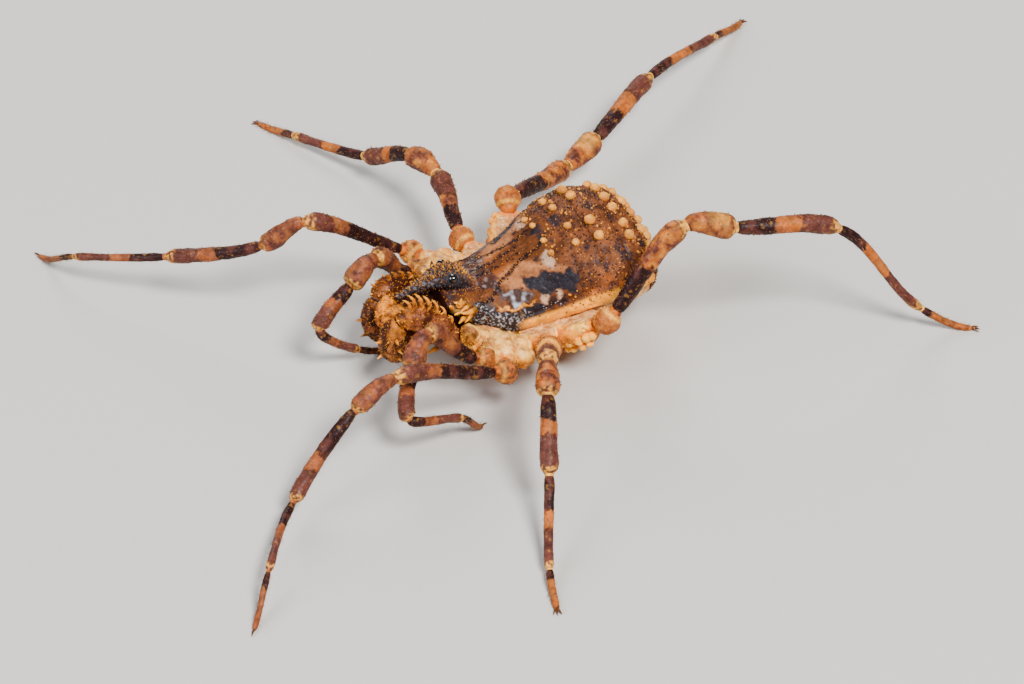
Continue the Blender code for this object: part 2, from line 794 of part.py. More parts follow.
def spine_on_limb(name, stations, place, reach, radius, curl, collection):
    """A spine whose root is sunk in a limb and whose tip is a given way from the limb's middle."""
    centre, thick = limb_point(stations, place)
    out = reach.normalized()
    root = centre + out * thick * 0.55
    return spike(name, root, centre + reach, radius, "palp", collection, curl)


def make_palp(side, collection, hidden, seats):
    """The arched arm with its comb and spears, and the folded hand with its spikes and claw."""
    label = "left" if side < 0 else "right"
    stations = palp_stations(PALP, side)
    way = limb_way(stations, PALP_KNEE)
    knee, thick = limb_point(stations, PALP_KNEE)
    lead = mm(0.05)
    arm_points = limb_points(stations, 0, PALP_KNEE - 0.55, PALP_KNEE * PALP_STEPS)
    arm_points += [(knee - way * (GAP / 2 + lead), thick), (knee - way * GAP / 2, thick)]
    hand_points = [(knee + way * GAP / 2, thick), (knee + way * (GAP / 2 + lead), thick)]
    last = len(stations) - 1
    hand_points += limb_points(stations, PALP_KNEE + 0.55, last, (last - PALP_KNEE) * PALP_STEPS)
    arm = tube(f"palp_arm_{label}", arm_points, "palp", collection)
    hand = tube(f"palp_hand_{label}", hand_points, "palp", collection)
    pieces = []
    for index, (place, length, lean, radius) in enumerate(PALP_COMB):
        along_arm = limb_way(stations, place)
        up = (Vector((0, 0, 1)) - along_arm * along_arm.z).normalized()
        thickness = limb_point(stations, place)[1]
        reach = up * (thickness + length) + Vector((lean, -side * COMB_INWARD, 0))
        name = f"comb_{label}_{index}"
        curl = Vector(mm(0.06, 0, 0))
        pieces.append(spine_on_limb(name, stations, place, reach, radius, curl, collection))
    for index, (place, reach) in enumerate(PALP_SPEARS):
        name = f"spear_{label}_{index}"
        tip = mirrored(reach, side)
        pieces.append(spine_on_limb(name, stations, place, tip, SPEAR_RADIUS, (0, 0, 0), collection))
    fuse(arm, pieces)
    for seat in seats:
        cut(arm, seat, hidden)
    pieces = []
    for index, (place, reach) in enumerate(HAND_SPIKES):
        name = f"hand_spike_{label}_{index}"
        tip = mirrored(reach, side)
        spike_radius = HAND_SPIKE_RADIUS
        pieces.append(spine_on_limb(name, stations, place, tip, spike_radius, (0, 0, 0), collection))
    claw = palp_stations(PALP_CLAW, side)
    pieces.append(tube(f"hand_claw_{label}", claw, "palp", collection, resolution=1))
    fuse(hand, pieces)


def make_jaw(side, collection, hidden, seats):
    label = "left" if side < 0 else "right"
    stations = [(mirrored(place, side), radius) for place, radius in JAW]
    jaw = tube(f"jaw_{label}", limb_points(stations, 0, len(JAW) - 1, 15), "palp", collection)
    finger = [(mirrored(place, side), radius) for place, radius in JAW_FINGER]
    fuse(jaw, [tube(f"finger_{label}", finger, "palp", collection, resolution=1)])
    for seat in seats:
        cut(jaw, seat, hidden)


def shade(collection):
    for made in collection.objects:
        if made.type == "MESH":
            made.data.shade_smooth()
            made.data.set_sharp_from_angle(angle=math.radians(40))


def main():
    clear_scene()
    draw = random.Random(4)
    animal = new_collection(NAME)
    hidden = new_collection("cutters", hidden=True)
    start, end = SHIELD_STATIONS[0][0], SHIELD_STATIONS[-1][0]
    rings = [shield_ring(place, GAP) for place in spread(start - GAP, end + GAP, SHIELD_RINGS)]
    shield_seat = loft("shield_seat", rings, "shell", animal)
    belly_seat = make_belly("belly_seat", animal, GAP)
    make_shield(animal)
    make_tail(animal)
    belly = cut(make_belly("belly", animal), shield_seat, hidden)
    for side in (-1, 1):
        place, radius = mirrored(LEG_ROOTS[1], side), BALL_RADIUS[1] + GAP
        cut(belly, ball(f"hip_seat_{side}", place, radius, "belly", animal), hidden)
    make_hood(animal, hidden, shield_seat, draw)
    for side, label in ((-1, "left"), (1, "right")):
        ball(f"eye_{label}", mirrored(EYE_PLACE, side), EYE_RADIUS, "eye", animal)
        make_palp(side, animal, hidden, (belly_seat, shield_seat))
        make_jaw(side, animal, hidden, (belly_seat, shield_seat))
    for leg in STANCE:
        make_leg(leg, animal, draw)
    shade(animal)
    root = bpy.data.objects.new(NAME + "_root", None)
    root.empty_display_size = mm(1.0)
    root.location = BODY_PLACE
    animal.objects.link(root)
    for made in animal.objects:
        if made is not root:
            made.parent = root


main()
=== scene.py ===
"""A small harvestman with a forward horn over its eyes: its skins, grains and spines over the model's frame.

The head points along -X and the left side along -Y. Everything is in metres, which mm() makes from
millimetres. Only the shield's markings are in millimetres. Most of their corners are pixels of the
photograph, read one by one, which shield_point() puts on the shield.
"""

import json
import math

import bpy
import numpy as np
from mathutils import Matrix, Vector, noise

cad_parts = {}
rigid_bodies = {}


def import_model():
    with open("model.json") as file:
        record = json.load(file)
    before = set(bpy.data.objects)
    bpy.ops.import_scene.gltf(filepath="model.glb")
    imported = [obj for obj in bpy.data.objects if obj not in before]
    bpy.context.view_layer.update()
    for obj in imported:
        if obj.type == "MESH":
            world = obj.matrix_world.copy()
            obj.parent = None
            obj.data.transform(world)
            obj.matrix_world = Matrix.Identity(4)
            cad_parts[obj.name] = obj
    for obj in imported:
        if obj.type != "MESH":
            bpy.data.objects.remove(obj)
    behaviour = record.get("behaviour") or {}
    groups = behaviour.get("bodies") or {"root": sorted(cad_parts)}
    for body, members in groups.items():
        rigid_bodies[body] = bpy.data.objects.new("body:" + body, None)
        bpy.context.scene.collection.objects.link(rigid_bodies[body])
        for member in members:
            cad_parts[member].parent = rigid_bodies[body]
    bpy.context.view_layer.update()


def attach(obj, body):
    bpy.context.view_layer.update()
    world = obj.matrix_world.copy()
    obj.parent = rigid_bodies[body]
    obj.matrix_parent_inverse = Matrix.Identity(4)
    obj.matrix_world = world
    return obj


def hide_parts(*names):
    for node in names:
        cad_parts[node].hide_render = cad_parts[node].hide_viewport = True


bl_info = {
    "name": "Harvestman Still Model",
    "version": (1, 0, 0),
    "blender": (4, 5, 0),
    "location": "View3D > Sidebar > Harvestman",
    "description": "Dresses the frame of a small horned harvestman with its skins, grains, spines and claws",
    "category": "Object",
}

for old in list(bpy.data.objects):
    bpy.data.objects.remove(old, do_unlink=True)
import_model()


def mm(*values):
    """Millimetres in metres: one number, or a tuple of them."""
    scaled = tuple(value * 0.001 for value in values)
    return scaled if len(scaled) > 1 else scaled[0]


# Driving dimensions of the whole animal
GAP = mm(0.03)
BODY_PLACE = mm(-0.38, -0.27, 0.0)

# Camera: its aim in the animal's own frame, the way to its right, the way it looks, distance and lens
FRAME_WIDTH, FRAME_HEIGHT = 1024, 684
SENSOR_WIDTH = 36.0
CAMERA_AIM = mm(0.0252, -0.0879, -0.0797)
CAMERA_RIGHT = Vector((0.8910, -0.4540, 0.0)).normalized()
CAMERA_LOOK = Vector((0.3478, 0.6826, -0.6428)).normalized()
CAMERA_DISTANCE = mm(100.0)
CAMERA_LENS = 219.73

# Back shield: place along the body, half width, top and rim height
SHIELD_STATIONS = (
    mm(-1.28, 0.43, 1.49, 1.36),
    mm(-0.90, 0.65, 1.49, 1.12),
    mm(-0.30, 0.86, 1.55, 0.90),
    mm(0.30, 0.99, 1.79, 0.94),
    mm(0.90, 1.18, 2.10, 1.12),
    mm(1.50, 1.25, 2.17, 1.19),
    mm(2.02, 1.14, 1.95, 1.21),
)
RIM_DEPTH = mm(0.08)
# Rows of beads on the shield: place along it, places across one half, and radius
SHIELD_BEADS = (
    (mm(0.53), mm(0.21, 0.46), mm(0.055)),
    (mm(0.91), mm(0.25, 0.56), mm(0.062)),
    (mm(1.28), mm(0.34, 0.64), mm(0.090)),
    (mm(1.79), mm(0.15, 0.48, 0.72), mm(0.086)),
)

# Tail plates behind the shield: place, half width, top, widest height, bottom
TAIL_STATIONS = (
    mm(2.050, 1.07, 1.90, 1.24, 0.50),
    mm(2.135, 1.00, 1.81, 1.20, 0.52),
    mm(2.155, 0.96, 1.75, 1.19, 0.53),
    mm(2.240, 0.85, 1.64, 1.14, 0.58),
    mm(2.260, 0.81, 1.58, 1.12, 0.60),
    mm(2.340, 0.62, 1.43, 1.06, 0.72),
    mm(2.390, 0.38, 1.28, 1.02, 0.84),
)
TAIL_BEADS = (
    (mm(2.10), mm(0.16, 0.50, 0.80), mm(0.075)),
    (mm(2.20), mm(0.20, 0.52), mm(0.066)),
    (mm(2.30), mm(0.24,), mm(0.055)),
)

# Belly: place, half width, top, widest height, bottom
BELLY_STATIONS = (
    mm(-1.16, 0.44, 1.36, 0.98, 0.68),
    mm(-0.95, 0.62, 1.34, 0.92, 0.55),
    mm(-0.50, 0.80, 1.30, 0.88, 0.48),
    mm(0.10, 0.92, 1.30, 0.88, 0.46),
    mm(0.80, 1.06, 1.40, 0.95, 0.45),
    mm(1.45, 1.12, 1.45, 1.00, 0.47),
    mm(2.02, 1.03, 1.45, 1.05, 0.55),
)

# Eye mound and horn: place, half width, top, widest height, bottom
HOOD_STATIONS = (
    mm(-0.66, 0.20, 1.57, 1.50, 1.36),
    mm(-0.82, 0.25, 1.69, 1.58, 1.38),
    mm(-0.98, 0.265, 1.80, 1.65, 1.40),
    mm(-1.14, 0.25, 1.83, 1.68, 1.46),
    mm(-1.30, 0.20, 1.80, 1.68, 1.53),
    mm(-1.46, 0.145, 1.745, 1.66, 1.555),
    mm(-1.62, 0.105, 1.70, 1.63, 1.555),
    mm(-1.78, 0.075, 1.65, 1.59, 1.535),
    mm(-1.91, 0.045, 1.59, 1.555, 1.52),
    mm(-1.98, 0.018, 1.545, 1.53, 1.515),
)
EYE_RADIUS = mm(0.072)
EYE_PLACE = mm(-1.08, 0.205, 1.725)

# Legs: the ball joint's centre on the right side, the hip's inner end, and their radii
LEG_ROOTS = {
    1: mm(-1.01, 1.23, 0.84),
    2: mm(-0.89, 1.67, 0.84),
    3: mm(-0.06, 1.53, 0.90),
    4: mm(0.87, 1.73, 1.26),
}
HIP_INNER = {
    1: mm(-0.90, 0.40, 0.84),
    2: mm(-0.45, 0.55, 0.80),
    3: mm(0.05, 0.60, 0.78),
    4: mm(0.47, 0.72, 0.70),
}
HIP_RADIUS = {1: mm(0.23), 2: mm(0.25), 3: mm(0.27), 4: mm(0.31)}
BALL_RADIUS = {1: mm(0.18), 2: mm(0.20), 3: mm(0.21), 4: mm(0.215)}

# Long joints of each leg: lengths of femur, patella, tibia, metatarsus and tarsus
LEG_PARTS = ("femur", "patella", "tibia", "metatarsus", "tarsus")
LEG_LENGTHS = {
    1: mm(1.04, 0.62, 0.84, 1.01, 0.64),
    2: mm(1.95, 0.80, 1.71, 1.70, 0.98),
    3: mm(1.26, 0.69, 1.27, 1.56, 0.77),
    4: mm(1.77, 0.83, 1.72, 2.24, 0.90),
}
LEG_WIDTHS = {1: 0.90, 2: 0.78, 3: 0.94, 4: 0.98}

# Stance: the compass heading of each joint, the rise of the first three, and the ankle's height
STANCE = {
    "left_1": ((171, 214, 241, 3, 21), (41, -34, -26), mm(0.48)),
    "left_2": ((184, 190, 201, 232, 230), (20, -19, -34), mm(0.42)),
    "left_3": ((242, 243, 244, 243, 251), (31, -5, -36), mm(0.15)),
    "left_4": ((0, 347, 346, 338, 331), (46, -14, -11), mm(0.41)),
    "right_1": ((198, 202, 202, 4, 4), (43, -19, -31), mm(0.25)),
    "right_2": ((174, 155, 139, 132, 108), (32, -34, -19), mm(0.50)),
    "right_3": ((80, 101, 107, 115, 115), (10, -5, -30), mm(0.15)),
    "right_4": ((32, 28, 31, 31, 31), (-18, 3, 5), mm(0.29)),
}

# Outline of each long joint: share of its length, and its radius in mm before the leg's own width
OUTLINES = {
    "femur": ((0, 0.100), (0.10, 0.125), (0.35, 0.142), (0.65, 0.166), (0.88, 0.185), (1, 0.120)),
    "patella": ((0, 0.112), (0.18, 0.150), (0.50, 0.190), (0.78, 0.205), (0.93, 0.180), (1, 0.110)),
    "tibia": ((0, 0.095), (0.12, 0.125), (0.40, 0.140), (0.70, 0.150), (0.90, 0.150), (1, 0.090)),
    "metatarsus": ((0, 0.078), (0.10, 0.090), (0.35, 0.084), (0.70, 0.077), (0.93, 0.082), (1, 0.062)),
    "tarsus": ((0, 0.058), (0.15, 0.066), (0.40, 0.063), (0.65, 0.060), (0.88, 0.055), (1, 0.042)),
}
FEMUR_DIP = {1: 24, 2: 0, 3: 0, 4: 0}
SOLE_HEIGHT = 0.8
CLAW_LENGTH = mm(0.13)
CLAW_RADIUS = mm(0.022)
CLAW_SPREAD = 32

# Palps, on the right side: places and radii from the root over the arch and down the folded hand
PALP = (
    (mm(-1.08, 0.56, 0.80), mm(0.13)),
    (mm(-1.27, 0.61, 0.83), mm(0.17)),
    (mm(-1.47, 0.63, 1.14), mm(0.195)),
    (mm(-1.70, 0.60, 1.38), mm(0.20)),
    (mm(-1.95, 0.53, 1.49), mm(0.19)),
    (mm(-2.13, 0.46, 1.42), mm(0.150)),
    (mm(-2.24, 0.43, 1.22), mm(0.190)),
    (mm(-2.27, 0.405, 0.98), mm(0.195)),
    (mm(-2.18, 0.39, 0.76), mm(0.160)),
    (mm(-2.05, 0.38, 0.66), mm(0.085)),
)
PALP_KNEE = 5
# The right palp hangs lower: how far its front is turned down in degrees, and how far it is moved
PALP_DROP = 9
PALP_SHIFT = mm(0.12, -0.02, -0.05)
# Spears under the arch: station, and how far the tip is from the arm's middle
PALP_SPEARS = (
    (1.24, mm(-0.42, -0.06, -0.20)),
    (1.66, mm(-0.40, -0.04, -0.12)),
    (2.10, mm(-0.34, 0.00, -0.16)),
)
SPEAR_RADIUS = mm(0.062)
# Spikes of the hand: station, and how far the tip is from its middle
HAND_SPIKES = (
    (6.1, mm(-0.05, 0.30, 0.03)),
    (6.9, mm(0.06, 0.30, -0.02)),
    (7.5, mm(0.02, 0.26, -0.06)),
    (6.5, mm(-0.30, 0.05, 0.06)),
    (7.3, mm(-0.28, 0.04, -0.10)),
)
HAND_SPIKE_RADIUS = mm(0.045)
# Claw of the hand, folded back on its outer side
PALP_CLAW = (
    (mm(-2.36, 0.53, 0.98), mm(0.045)),
    (mm(-2.39, 0.59, 1.08), mm(0.034)),
    (mm(-2.34, 0.61, 1.20), mm(0.022)),
    (mm(-2.26, 0.61, 1.28), mm(0.010)),
)

# Jaws, on the right side: the arm under the horn and the hand that hangs from it
JAW = (
    (mm(-1.08, 0.150, 1.12), mm(0.115)),
    (mm(-1.50, 0.150, 1.22), mm(0.130)),
    (mm(-1.88, 0.140, 1.32), mm(0.125)),
    (mm(-2.08, 0.125, 1.36), mm(0.110)),
    (mm(-2.19, 0.105, 1.24), mm(0.088)),
    (mm(-2.21, 0.095, 1.06), mm(0.075)),
    (mm(-2.16, 0.090, 0.92), mm(0.030)),
)
JAW_FINGER = (
    (mm(-2.17, 0.095, 1.08), mm(0.050)),
    (mm(-2.08, 0.092, 0.99), mm(0.034)),
    (mm(-2.09, 0.090, 0.90), mm(0.012)),
)


def mirrored(point, side):
    """A place given on the right side, on the side asked for."""
    return Vector((point[0], point[1] * side, point[2]))


def direction(heading, rise):
    """A unit vector from a compass heading and a rise in degrees."""
    turn, lift = math.radians(heading), math.radians(rise)
    return Vector((math.cos(turn) * math.cos(lift), math.sin(turn) * math.cos(lift), math.sin(lift)))


def along(table, place):
    """Values at a place between the stations of a table, on a smooth curve through them."""
    count = len(table)
    ascending = table[-1][0] > table[0][0]
    index = 0
    while index < count - 2 and (place > table[index + 1][0]) == ascending:
        index += 1
    start, end = table[index], table[index + 1]
    before = table[max(index - 1, 0)]
    after = table[min(index + 2, count - 1)]
    share = (place - start[0]) / (end[0] - start[0])
    square, cube = share**2, share**3
    values = []
    for column in range(1, len(start)):
        slope_in = (end[column] - before[column]) / (end[0] - before[0]) * (end[0] - start[0])
        slope_out = (after[column] - start[column]) / (after[0] - start[0]) * (end[0] - start[0])
        values.append(
            (2 * cube - 3 * square + 1) * start[column]
            + (cube - 2 * square + share) * slope_in
            + (3 * square - 2 * cube) * end[column]
            + (cube - square) * slope_out
        )
    return values


def dome_point(stations, place, across):
    """A place on the upper side of a row of domed cross-sections."""
    width, top, middle = along(stations, place)[:3]
    height = math.sqrt(max(1 - (across / width) ** 2, 0))
    return Vector((place, across, middle + (top - middle) * height))


def limb_point(stations, place):
    """Place and radius at a station, whole or between, of a smooth limb."""
    table = [(index, *spot, radius) for index, (spot, radius) in enumerate(stations)]
    values = along(table, place)
    return Vector(values[:3]), values[3]


def palp_stations(table, side):
    """Places and radii of a palp's table on one side, the right one turned down about its root."""
    if side < 0:
        return [(mirrored(place, side), radius) for place, radius in table]
    root = Vector(PALP[0][0])
    turn = math.radians(PALP_DROP)
    made = []
    for place, radius in table:
        away = Vector(place) - root
        ahead = away.x * math.cos(turn) - away.z * math.sin(turn)
        rise = away.z * math.cos(turn) + away.x * math.sin(turn)
        made.append((root + Vector((ahead, away.y, rise)) + Vector(PALP_SHIFT), radius))
    return made


def limb_way(stations, place):
    """The unit vector along a smooth limb at a station."""
    step = 0.02
    return (limb_point(stations, place + step)[0] - limb_point(stations, place - step)[0]).normalized()


def leg_joints(leg):
    """The six joint centres of a leg, from its ball joint's side to its claw."""
    number = int(leg[-1])
    side = -1 if leg.startswith("left") else 1
    headings, rises, ankle = STANCE[leg]
    lengths = LEG_LENGTHS[number]
    root = mirrored(LEG_ROOTS[number], side)
    place = root + first_way(leg) * BALL_RADIUS[number]
    joints = [place]
    for step in range(3):
        place = place + direction(headings[step], rises[step]) * lengths[step]
        joints.append(place)
    sole = SOLE_HEIGHT * mm(OUTLINES["tarsus"][-1][1]) * LEG_WIDTHS[number]
    for step, height in ((3, ankle), (4, sole)):
        fall = math.degrees(math.asin((height - place.z) / lengths[step]))
        place = place + direction(headings[step], fall) * lengths[step]
        joints.append(place)
    return joints


def first_way(leg):
    """The way a femur leaves its ball joint, flatter than its chord where the femur sags."""
    headings, rises = STANCE[leg][:2]
    return direction(headings[0], rises[0] - FEMUR_DIP[int(leg[-1])])


def joint_ways(leg, joints):
    """The way a leg's centre line runs through each joint: half way between its neighbours."""
    ways = [(end - start).normalized() for start, end in zip(joints, joints[1:])]
    inner = [(first + second).normalized() for first, second in zip(ways, ways[1:])]
    flat = Vector((ways[-1].x, ways[-1].y, 0.0)).normalized()
    return [first_way(leg), *inner, flat]


def bent(start, end, start_way, end_way, share, radius):
    """A place on the bent centre line between two joints."""
    length = (end - start).length
    chord = (end - start).normalized()
    start_arm = length / 3 * max(chord.dot(start_way), 0) ** 2 + radius / 2
    end_arm = length / 3 * max(chord.dot(end_way), 0) ** 2 + radius / 2
    first, second = start + start_way * start_arm, end - end_way * end_arm
    rest = 1 - share
    return (
        start * rest**3
        + first * (3 * rest**2 * share)
        + second * (3 * rest * share**2)
        + end * share**3
    )


def hip_stations(number, side):
    """Places and radii of one hip, from inside the belly to the face that its ball joint meets."""
    root = mirrored(LEG_ROOTS[number], side)
    inner = mirrored(HIP_INNER[number], side)
    outward = (root - inner).normalized()
    end = root - outward * (BALL_RADIUS[number] * 0.95 + GAP)
    radius = HIP_RADIUS[number]
    return [
        (inner, radius * 0.85),
        (inner.lerp(end, 0.40), radius),
        (inner.lerp(end, 0.78), radius * 0.92),
        (end, BALL_RADIUS[number] * 0.70),
    ]


# Skins: rings of points with a colour at each, put together into one mesh a piece
def soft_step(value, low, high):
    """A soft step from 0 at low to 1 at high."""
    share = np.clip((value - low) / (high - low), 0.0, 1.0)
    return share * share * (3 - 2 * share)


def ripple(points, waves, shift=0.0):
    """Soft noise between about -1 and 1 at each point, with so many waves a millimetre."""
    flat = points.reshape(-1, 3) * (1000.0 * waves) + shift
    values = [noise.noise(spot) for spot in flat.tolist()]
    return np.array(values).reshape(points.shape[:-1])


class Sheet:
    """A skin of rings of points, closed round its sides, with a colour and a wetness at each point."""

    def __init__(self, rings):
        self.points = np.array([[tuple(point) for point in ring] for ring in rings])
        self.tints = np.ones((*self.points.shape[:2], 4))
        self.strip = (0.0, 1.0)

    def across(self):
        return np.roll(self.points, -1, axis=1) - np.roll(self.points, 1, axis=1)

    def forward(self):
        return np.gradient(self.points, axis=0)

    def outward(self):
        """1 where rings turn so that faces look out, and -1 where they look in."""
        crossed = np.cross(self.across(), self.forward())
        centres = self.points.mean(axis=1, keepdims=True)
        return 1 if np.sum(crossed * (self.points - centres)) > 0 else -1

    def normals(self):
        crossed = np.cross(self.across(), self.forward()) * self.outward()
        return crossed / np.maximum(np.linalg.norm(crossed, axis=2, keepdims=True), 1e-30)

    def swell(self, amounts):
        """Moves each point out along its normal."""
        self.points = self.points + self.normals() * amounts[..., None]

    def roughen(self, *waves):
        """Adds noise of several sizes, each with its waves a millimetre and its height."""
        total = sum(ripple(self.points, count, 3.7 * count) * height for count, height in waves)
        self.swell(total)

    def paint(self, colour, wet=0.0):
        self.tints[..., :3] = colour
        self.tints[..., 3] = wet

    def lay(self, colour, mask, wet=None):
        """Blends a colour over the paint by a mask, and the wetness too where it is given."""
        mask = np.clip(mask, 0.0, 1.0)
        self.tints[..., :3] += (np.array(colour) - self.tints[..., :3]) * mask[..., None]
        if wet is not None:
            self.tints[..., 3] += (wet - self.tints[..., 3]) * mask

    def cloud(self, colour, noise_kind, edges, amount, wet=None):
        """Blends a colour over the paint in blotches of (waves a millimetre, shift), between two edges."""
        self.lay(colour, soft_step(ripple(self.points, *noise_kind), *edges) * amount, wet)

    def mottle(self, waves, amount, shift=0.0):
        """Lightens and darkens the paint in soft spots."""
        spots = 1 + ripple(self.points, waves, shift) * amount
        self.tints[..., :3] *= np.clip(spots, 0.1, 2.0)[..., None]


class Build:
    """Points, faces, colours and bake places of one piece while it is put together."""

    def __init__(self):
        self.points = []
        self.tints = []
        self.faces = []
        self.places = []
        self.count = 0

    def add(self, points, tints, faces, places):
        self.points.append(points)
        self.tints.append(tints)
        self.faces += (np.array(faces) + self.count).tolist()
        self.places.append(np.array(places).reshape(-1, 2))
        self.count += len(points)

    def add_sheet(self, sheet):
        """The faces of a skin and its two end caps, spread over the skin's own strip."""
        rings, sides = sheet.points.shape[:2]
        low, high = sheet.strip
        turned = sheet.outward() < 0
        index = np.arange(rings * sides).reshape(rings, sides)
        after = np.roll(index, -1, axis=1)
        quads = np.stack([index[:-1], after[:-1], after[1:], index[1:]], axis=-1).reshape(-1, 4)
        step, turn = np.meshgrid(np.arange(rings - 1), np.arange(sides), indexing="ij")
        corners = [(turn, step), (turn + 1, step), (turn + 1, step + 1), (turn, step + 1)]
        places = np.stack([np.stack(corner, axis=-1) for corner in corners], axis=2).astype(float)
        places = places.reshape(-1, 4, 2) / (sides, rings - 1)
        places[..., 1] = low + (high - low) * places[..., 1]
        if turned:
            quads, places = quads[:, ::-1], places[:, ::-1]
        self.add(sheet.points.reshape(-1, 3), sheet.tints.reshape(-1, 4), quads, places)
        for row, height, flip in ((0, low, not turned), (rings - 1, high, turned)):
            rim, colours = sheet.points[row], sheet.tints[row]
            points = np.vstack([rim, rim.mean(axis=0)])
            tints = np.vstack([colours, colours.mean(axis=0)])
            ring = np.arange(sides)
            fan = np.stack([ring, np.roll(ring, -1), np.full(sides, sides)], axis=-1)
            if flip:
                fan = fan[:, ::-1]
            spots = np.stack([(fan % sides) / sides, np.full(fan.shape, height)], axis=-1)
            self.add(points, tints, fan, spots)

    def finish(self, name, finish, slot, nodes=()):
        """The piece as an object in its place, that stands for some of the frame's nodes."""
        points = np.vstack(self.points) + np.array(BODY_PLACE)
        points[:, 2] = np.maximum(points[:, 2], 0.0)
        mesh = bpy.data.meshes.new(name)
        mesh.from_pydata(points.tolist(), [], self.faces)
        layer = mesh.uv_layers.new(name="OFBake")
        layer.data.foreach_set("uv", np.vstack(self.places).ravel())
        tint = mesh.color_attributes.new("tint", "FLOAT_COLOR", "POINT")
        tint.data.foreach_set("color", np.vstack(self.tints).ravel())
        mesh.shade_smooth()
        mesh.materials.append(finish)
        made = bpy.data.objects.new(name, mesh)
        bpy.context.scene.collection.objects.link(made)
        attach(made, "root")
        if nodes:
            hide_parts(*nodes)
        return made


def lay_out(sheets):
    """Gives each skin of a piece its own strip of the bake map."""
    sizes = [math.sqrt(sheet.points.shape[0] * sheet.points.shape[1]) for sheet in sheets]
    start = 0.0
    for sheet, size in zip(sheets, sizes):
        share = size / sum(sizes)
        sheet.strip = (start + share * 0.02, start + share * 0.98)
        start += share


def pick(sheet, count, draw, weights=None):
    """Random cells of a skin, by its area and by weights of its own."""
    area = np.linalg.norm(np.cross(sheet.across(), sheet.forward()), axis=2)
    chance = area if weights is None else area * weights
    if chance.sum() <= 0:
        return np.array([0]), np.array([0])
    chosen = draw.choice(chance.size, count, p=(chance / chance.sum()).ravel())
    return np.unravel_index(chosen, chance.shape)


def rooted(sheet, cells, draw):
    """Where some small things stand on a skin: place, up, and their place on the bake map."""
    rows, turns = cells
    points = sheet.points
    sides = points.shape[1]
    later = np.minimum(rows + 1, points.shape[0] - 1)
    first, second = draw.random((2, len(rows), 1))
    spots = points[rows, turns]
    spots = spots + (points[rows, (turns + 1) % sides] - spots) * first
    spots = spots + (points[later, turns] - points[rows, turns]) * second
    low, high = sheet.strip
    places = np.stack([(turns + 0.5) / sides, low + (high - low) * rows / points.shape[0]], axis=-1)
    return spots, sheet.normals()[rows, turns], np.clip(places, 0.003, 0.997)


def stand_up(build, parts, tints):
    """Small closed shapes, each from rings of points with bake offsets, that end in a tip."""
    corners = parts[0][0].shape[1]
    levels = [points for points, offsets in parts]
    offsets = [offset for points, offset in parts]
    count = len(tints)
    points = np.concatenate(levels, axis=1)
    places = np.concatenate(offsets, axis=1)
    each = points.shape[1]
    faces = []
    for level in range(len(parts) - 1):
        width = parts[level + 1][0].shape[1]
        for corner in range(corners):
            here = level * corners + corner
            beside = level * corners + (corner + 1) % corners
            if width == 1:
                faces.append((here, beside, (level + 1) * corners))
            else:
                faces.append((here, beside, beside + corners, here + corners))
    starts = np.arange(count) * each
    for quad in (True, False):
        kind = [face for face in faces if (len(face) == 4) == quad]
        if not kind:
            continue
        whole = (starts[:, None, None] + np.array(kind)[None]).reshape(-1, len(kind[0]))
        spots = places[:, np.array(kind)].reshape(-1, 2)
        if quad:
            build.add(points.reshape(-1, 3), np.repeat(tints, each, axis=0), whole, spots)
        else:
            build.faces += (whole + build.count - len(points.reshape(-1, 3))).tolist()
            build.places.append(spots)


def add_grains(build, sheet, cells, draw, radii, heights, tints, lean, plain):
    """Round grains that stand on a skin, pointed where they are high; the finest are plain."""
    corners = 5 if plain else 6
    spots, ups, places = rooted(sheet, cells, draw)
    count = len(spots)
    radii = draw.uniform(*radii, count)[:, None, None]
    heights = draw.uniform(*heights, count)[:, None, None]
    guide = np.where(np.abs(ups[:, :1]) < 0.8, (1.0, 0.0, 0.0), (0.0, 1.0, 0.0))
    first = np.cross(ups, guide)
    first /= np.maximum(np.linalg.norm(first, axis=1, keepdims=True), 1e-12)
    second = np.cross(ups, first)
    turns = np.linspace(0, 2 * math.pi, corners, endpoint=False)[None] + draw.uniform(0, 1, (count, 1))
    ring = first[:, None] * np.cos(turns)[..., None] + second[:, None] * np.sin(turns)[..., None]
    flat = np.stack([np.cos(turns), np.sin(turns)], axis=-1) * 0.0015
    centre, up = spots[:, None], ups[:, None]
    tilt = sheet.forward()[cells]
    tilt = tilt / np.maximum(np.linalg.norm(tilt, axis=1, keepdims=True), 1e-30) * lean
    tip = centre + (up + tilt[:, None]) * heights
    parts = [
        (centre + ring * radii - up * heights * 0.25, places[:, None] + flat),
        (centre + ring * radii * 0.86 + up * heights * 0.40, places[:, None] + flat * 0.7),
        (centre + ring * radii * 0.45 + (up + tilt[:, None] * 0.8) * heights * 0.84,
         places[:, None] + flat * 0.4),
        (tip, places[:, None]),
    ]
    if plain:
        del parts[2]
    stand_up(build, parts, tints)


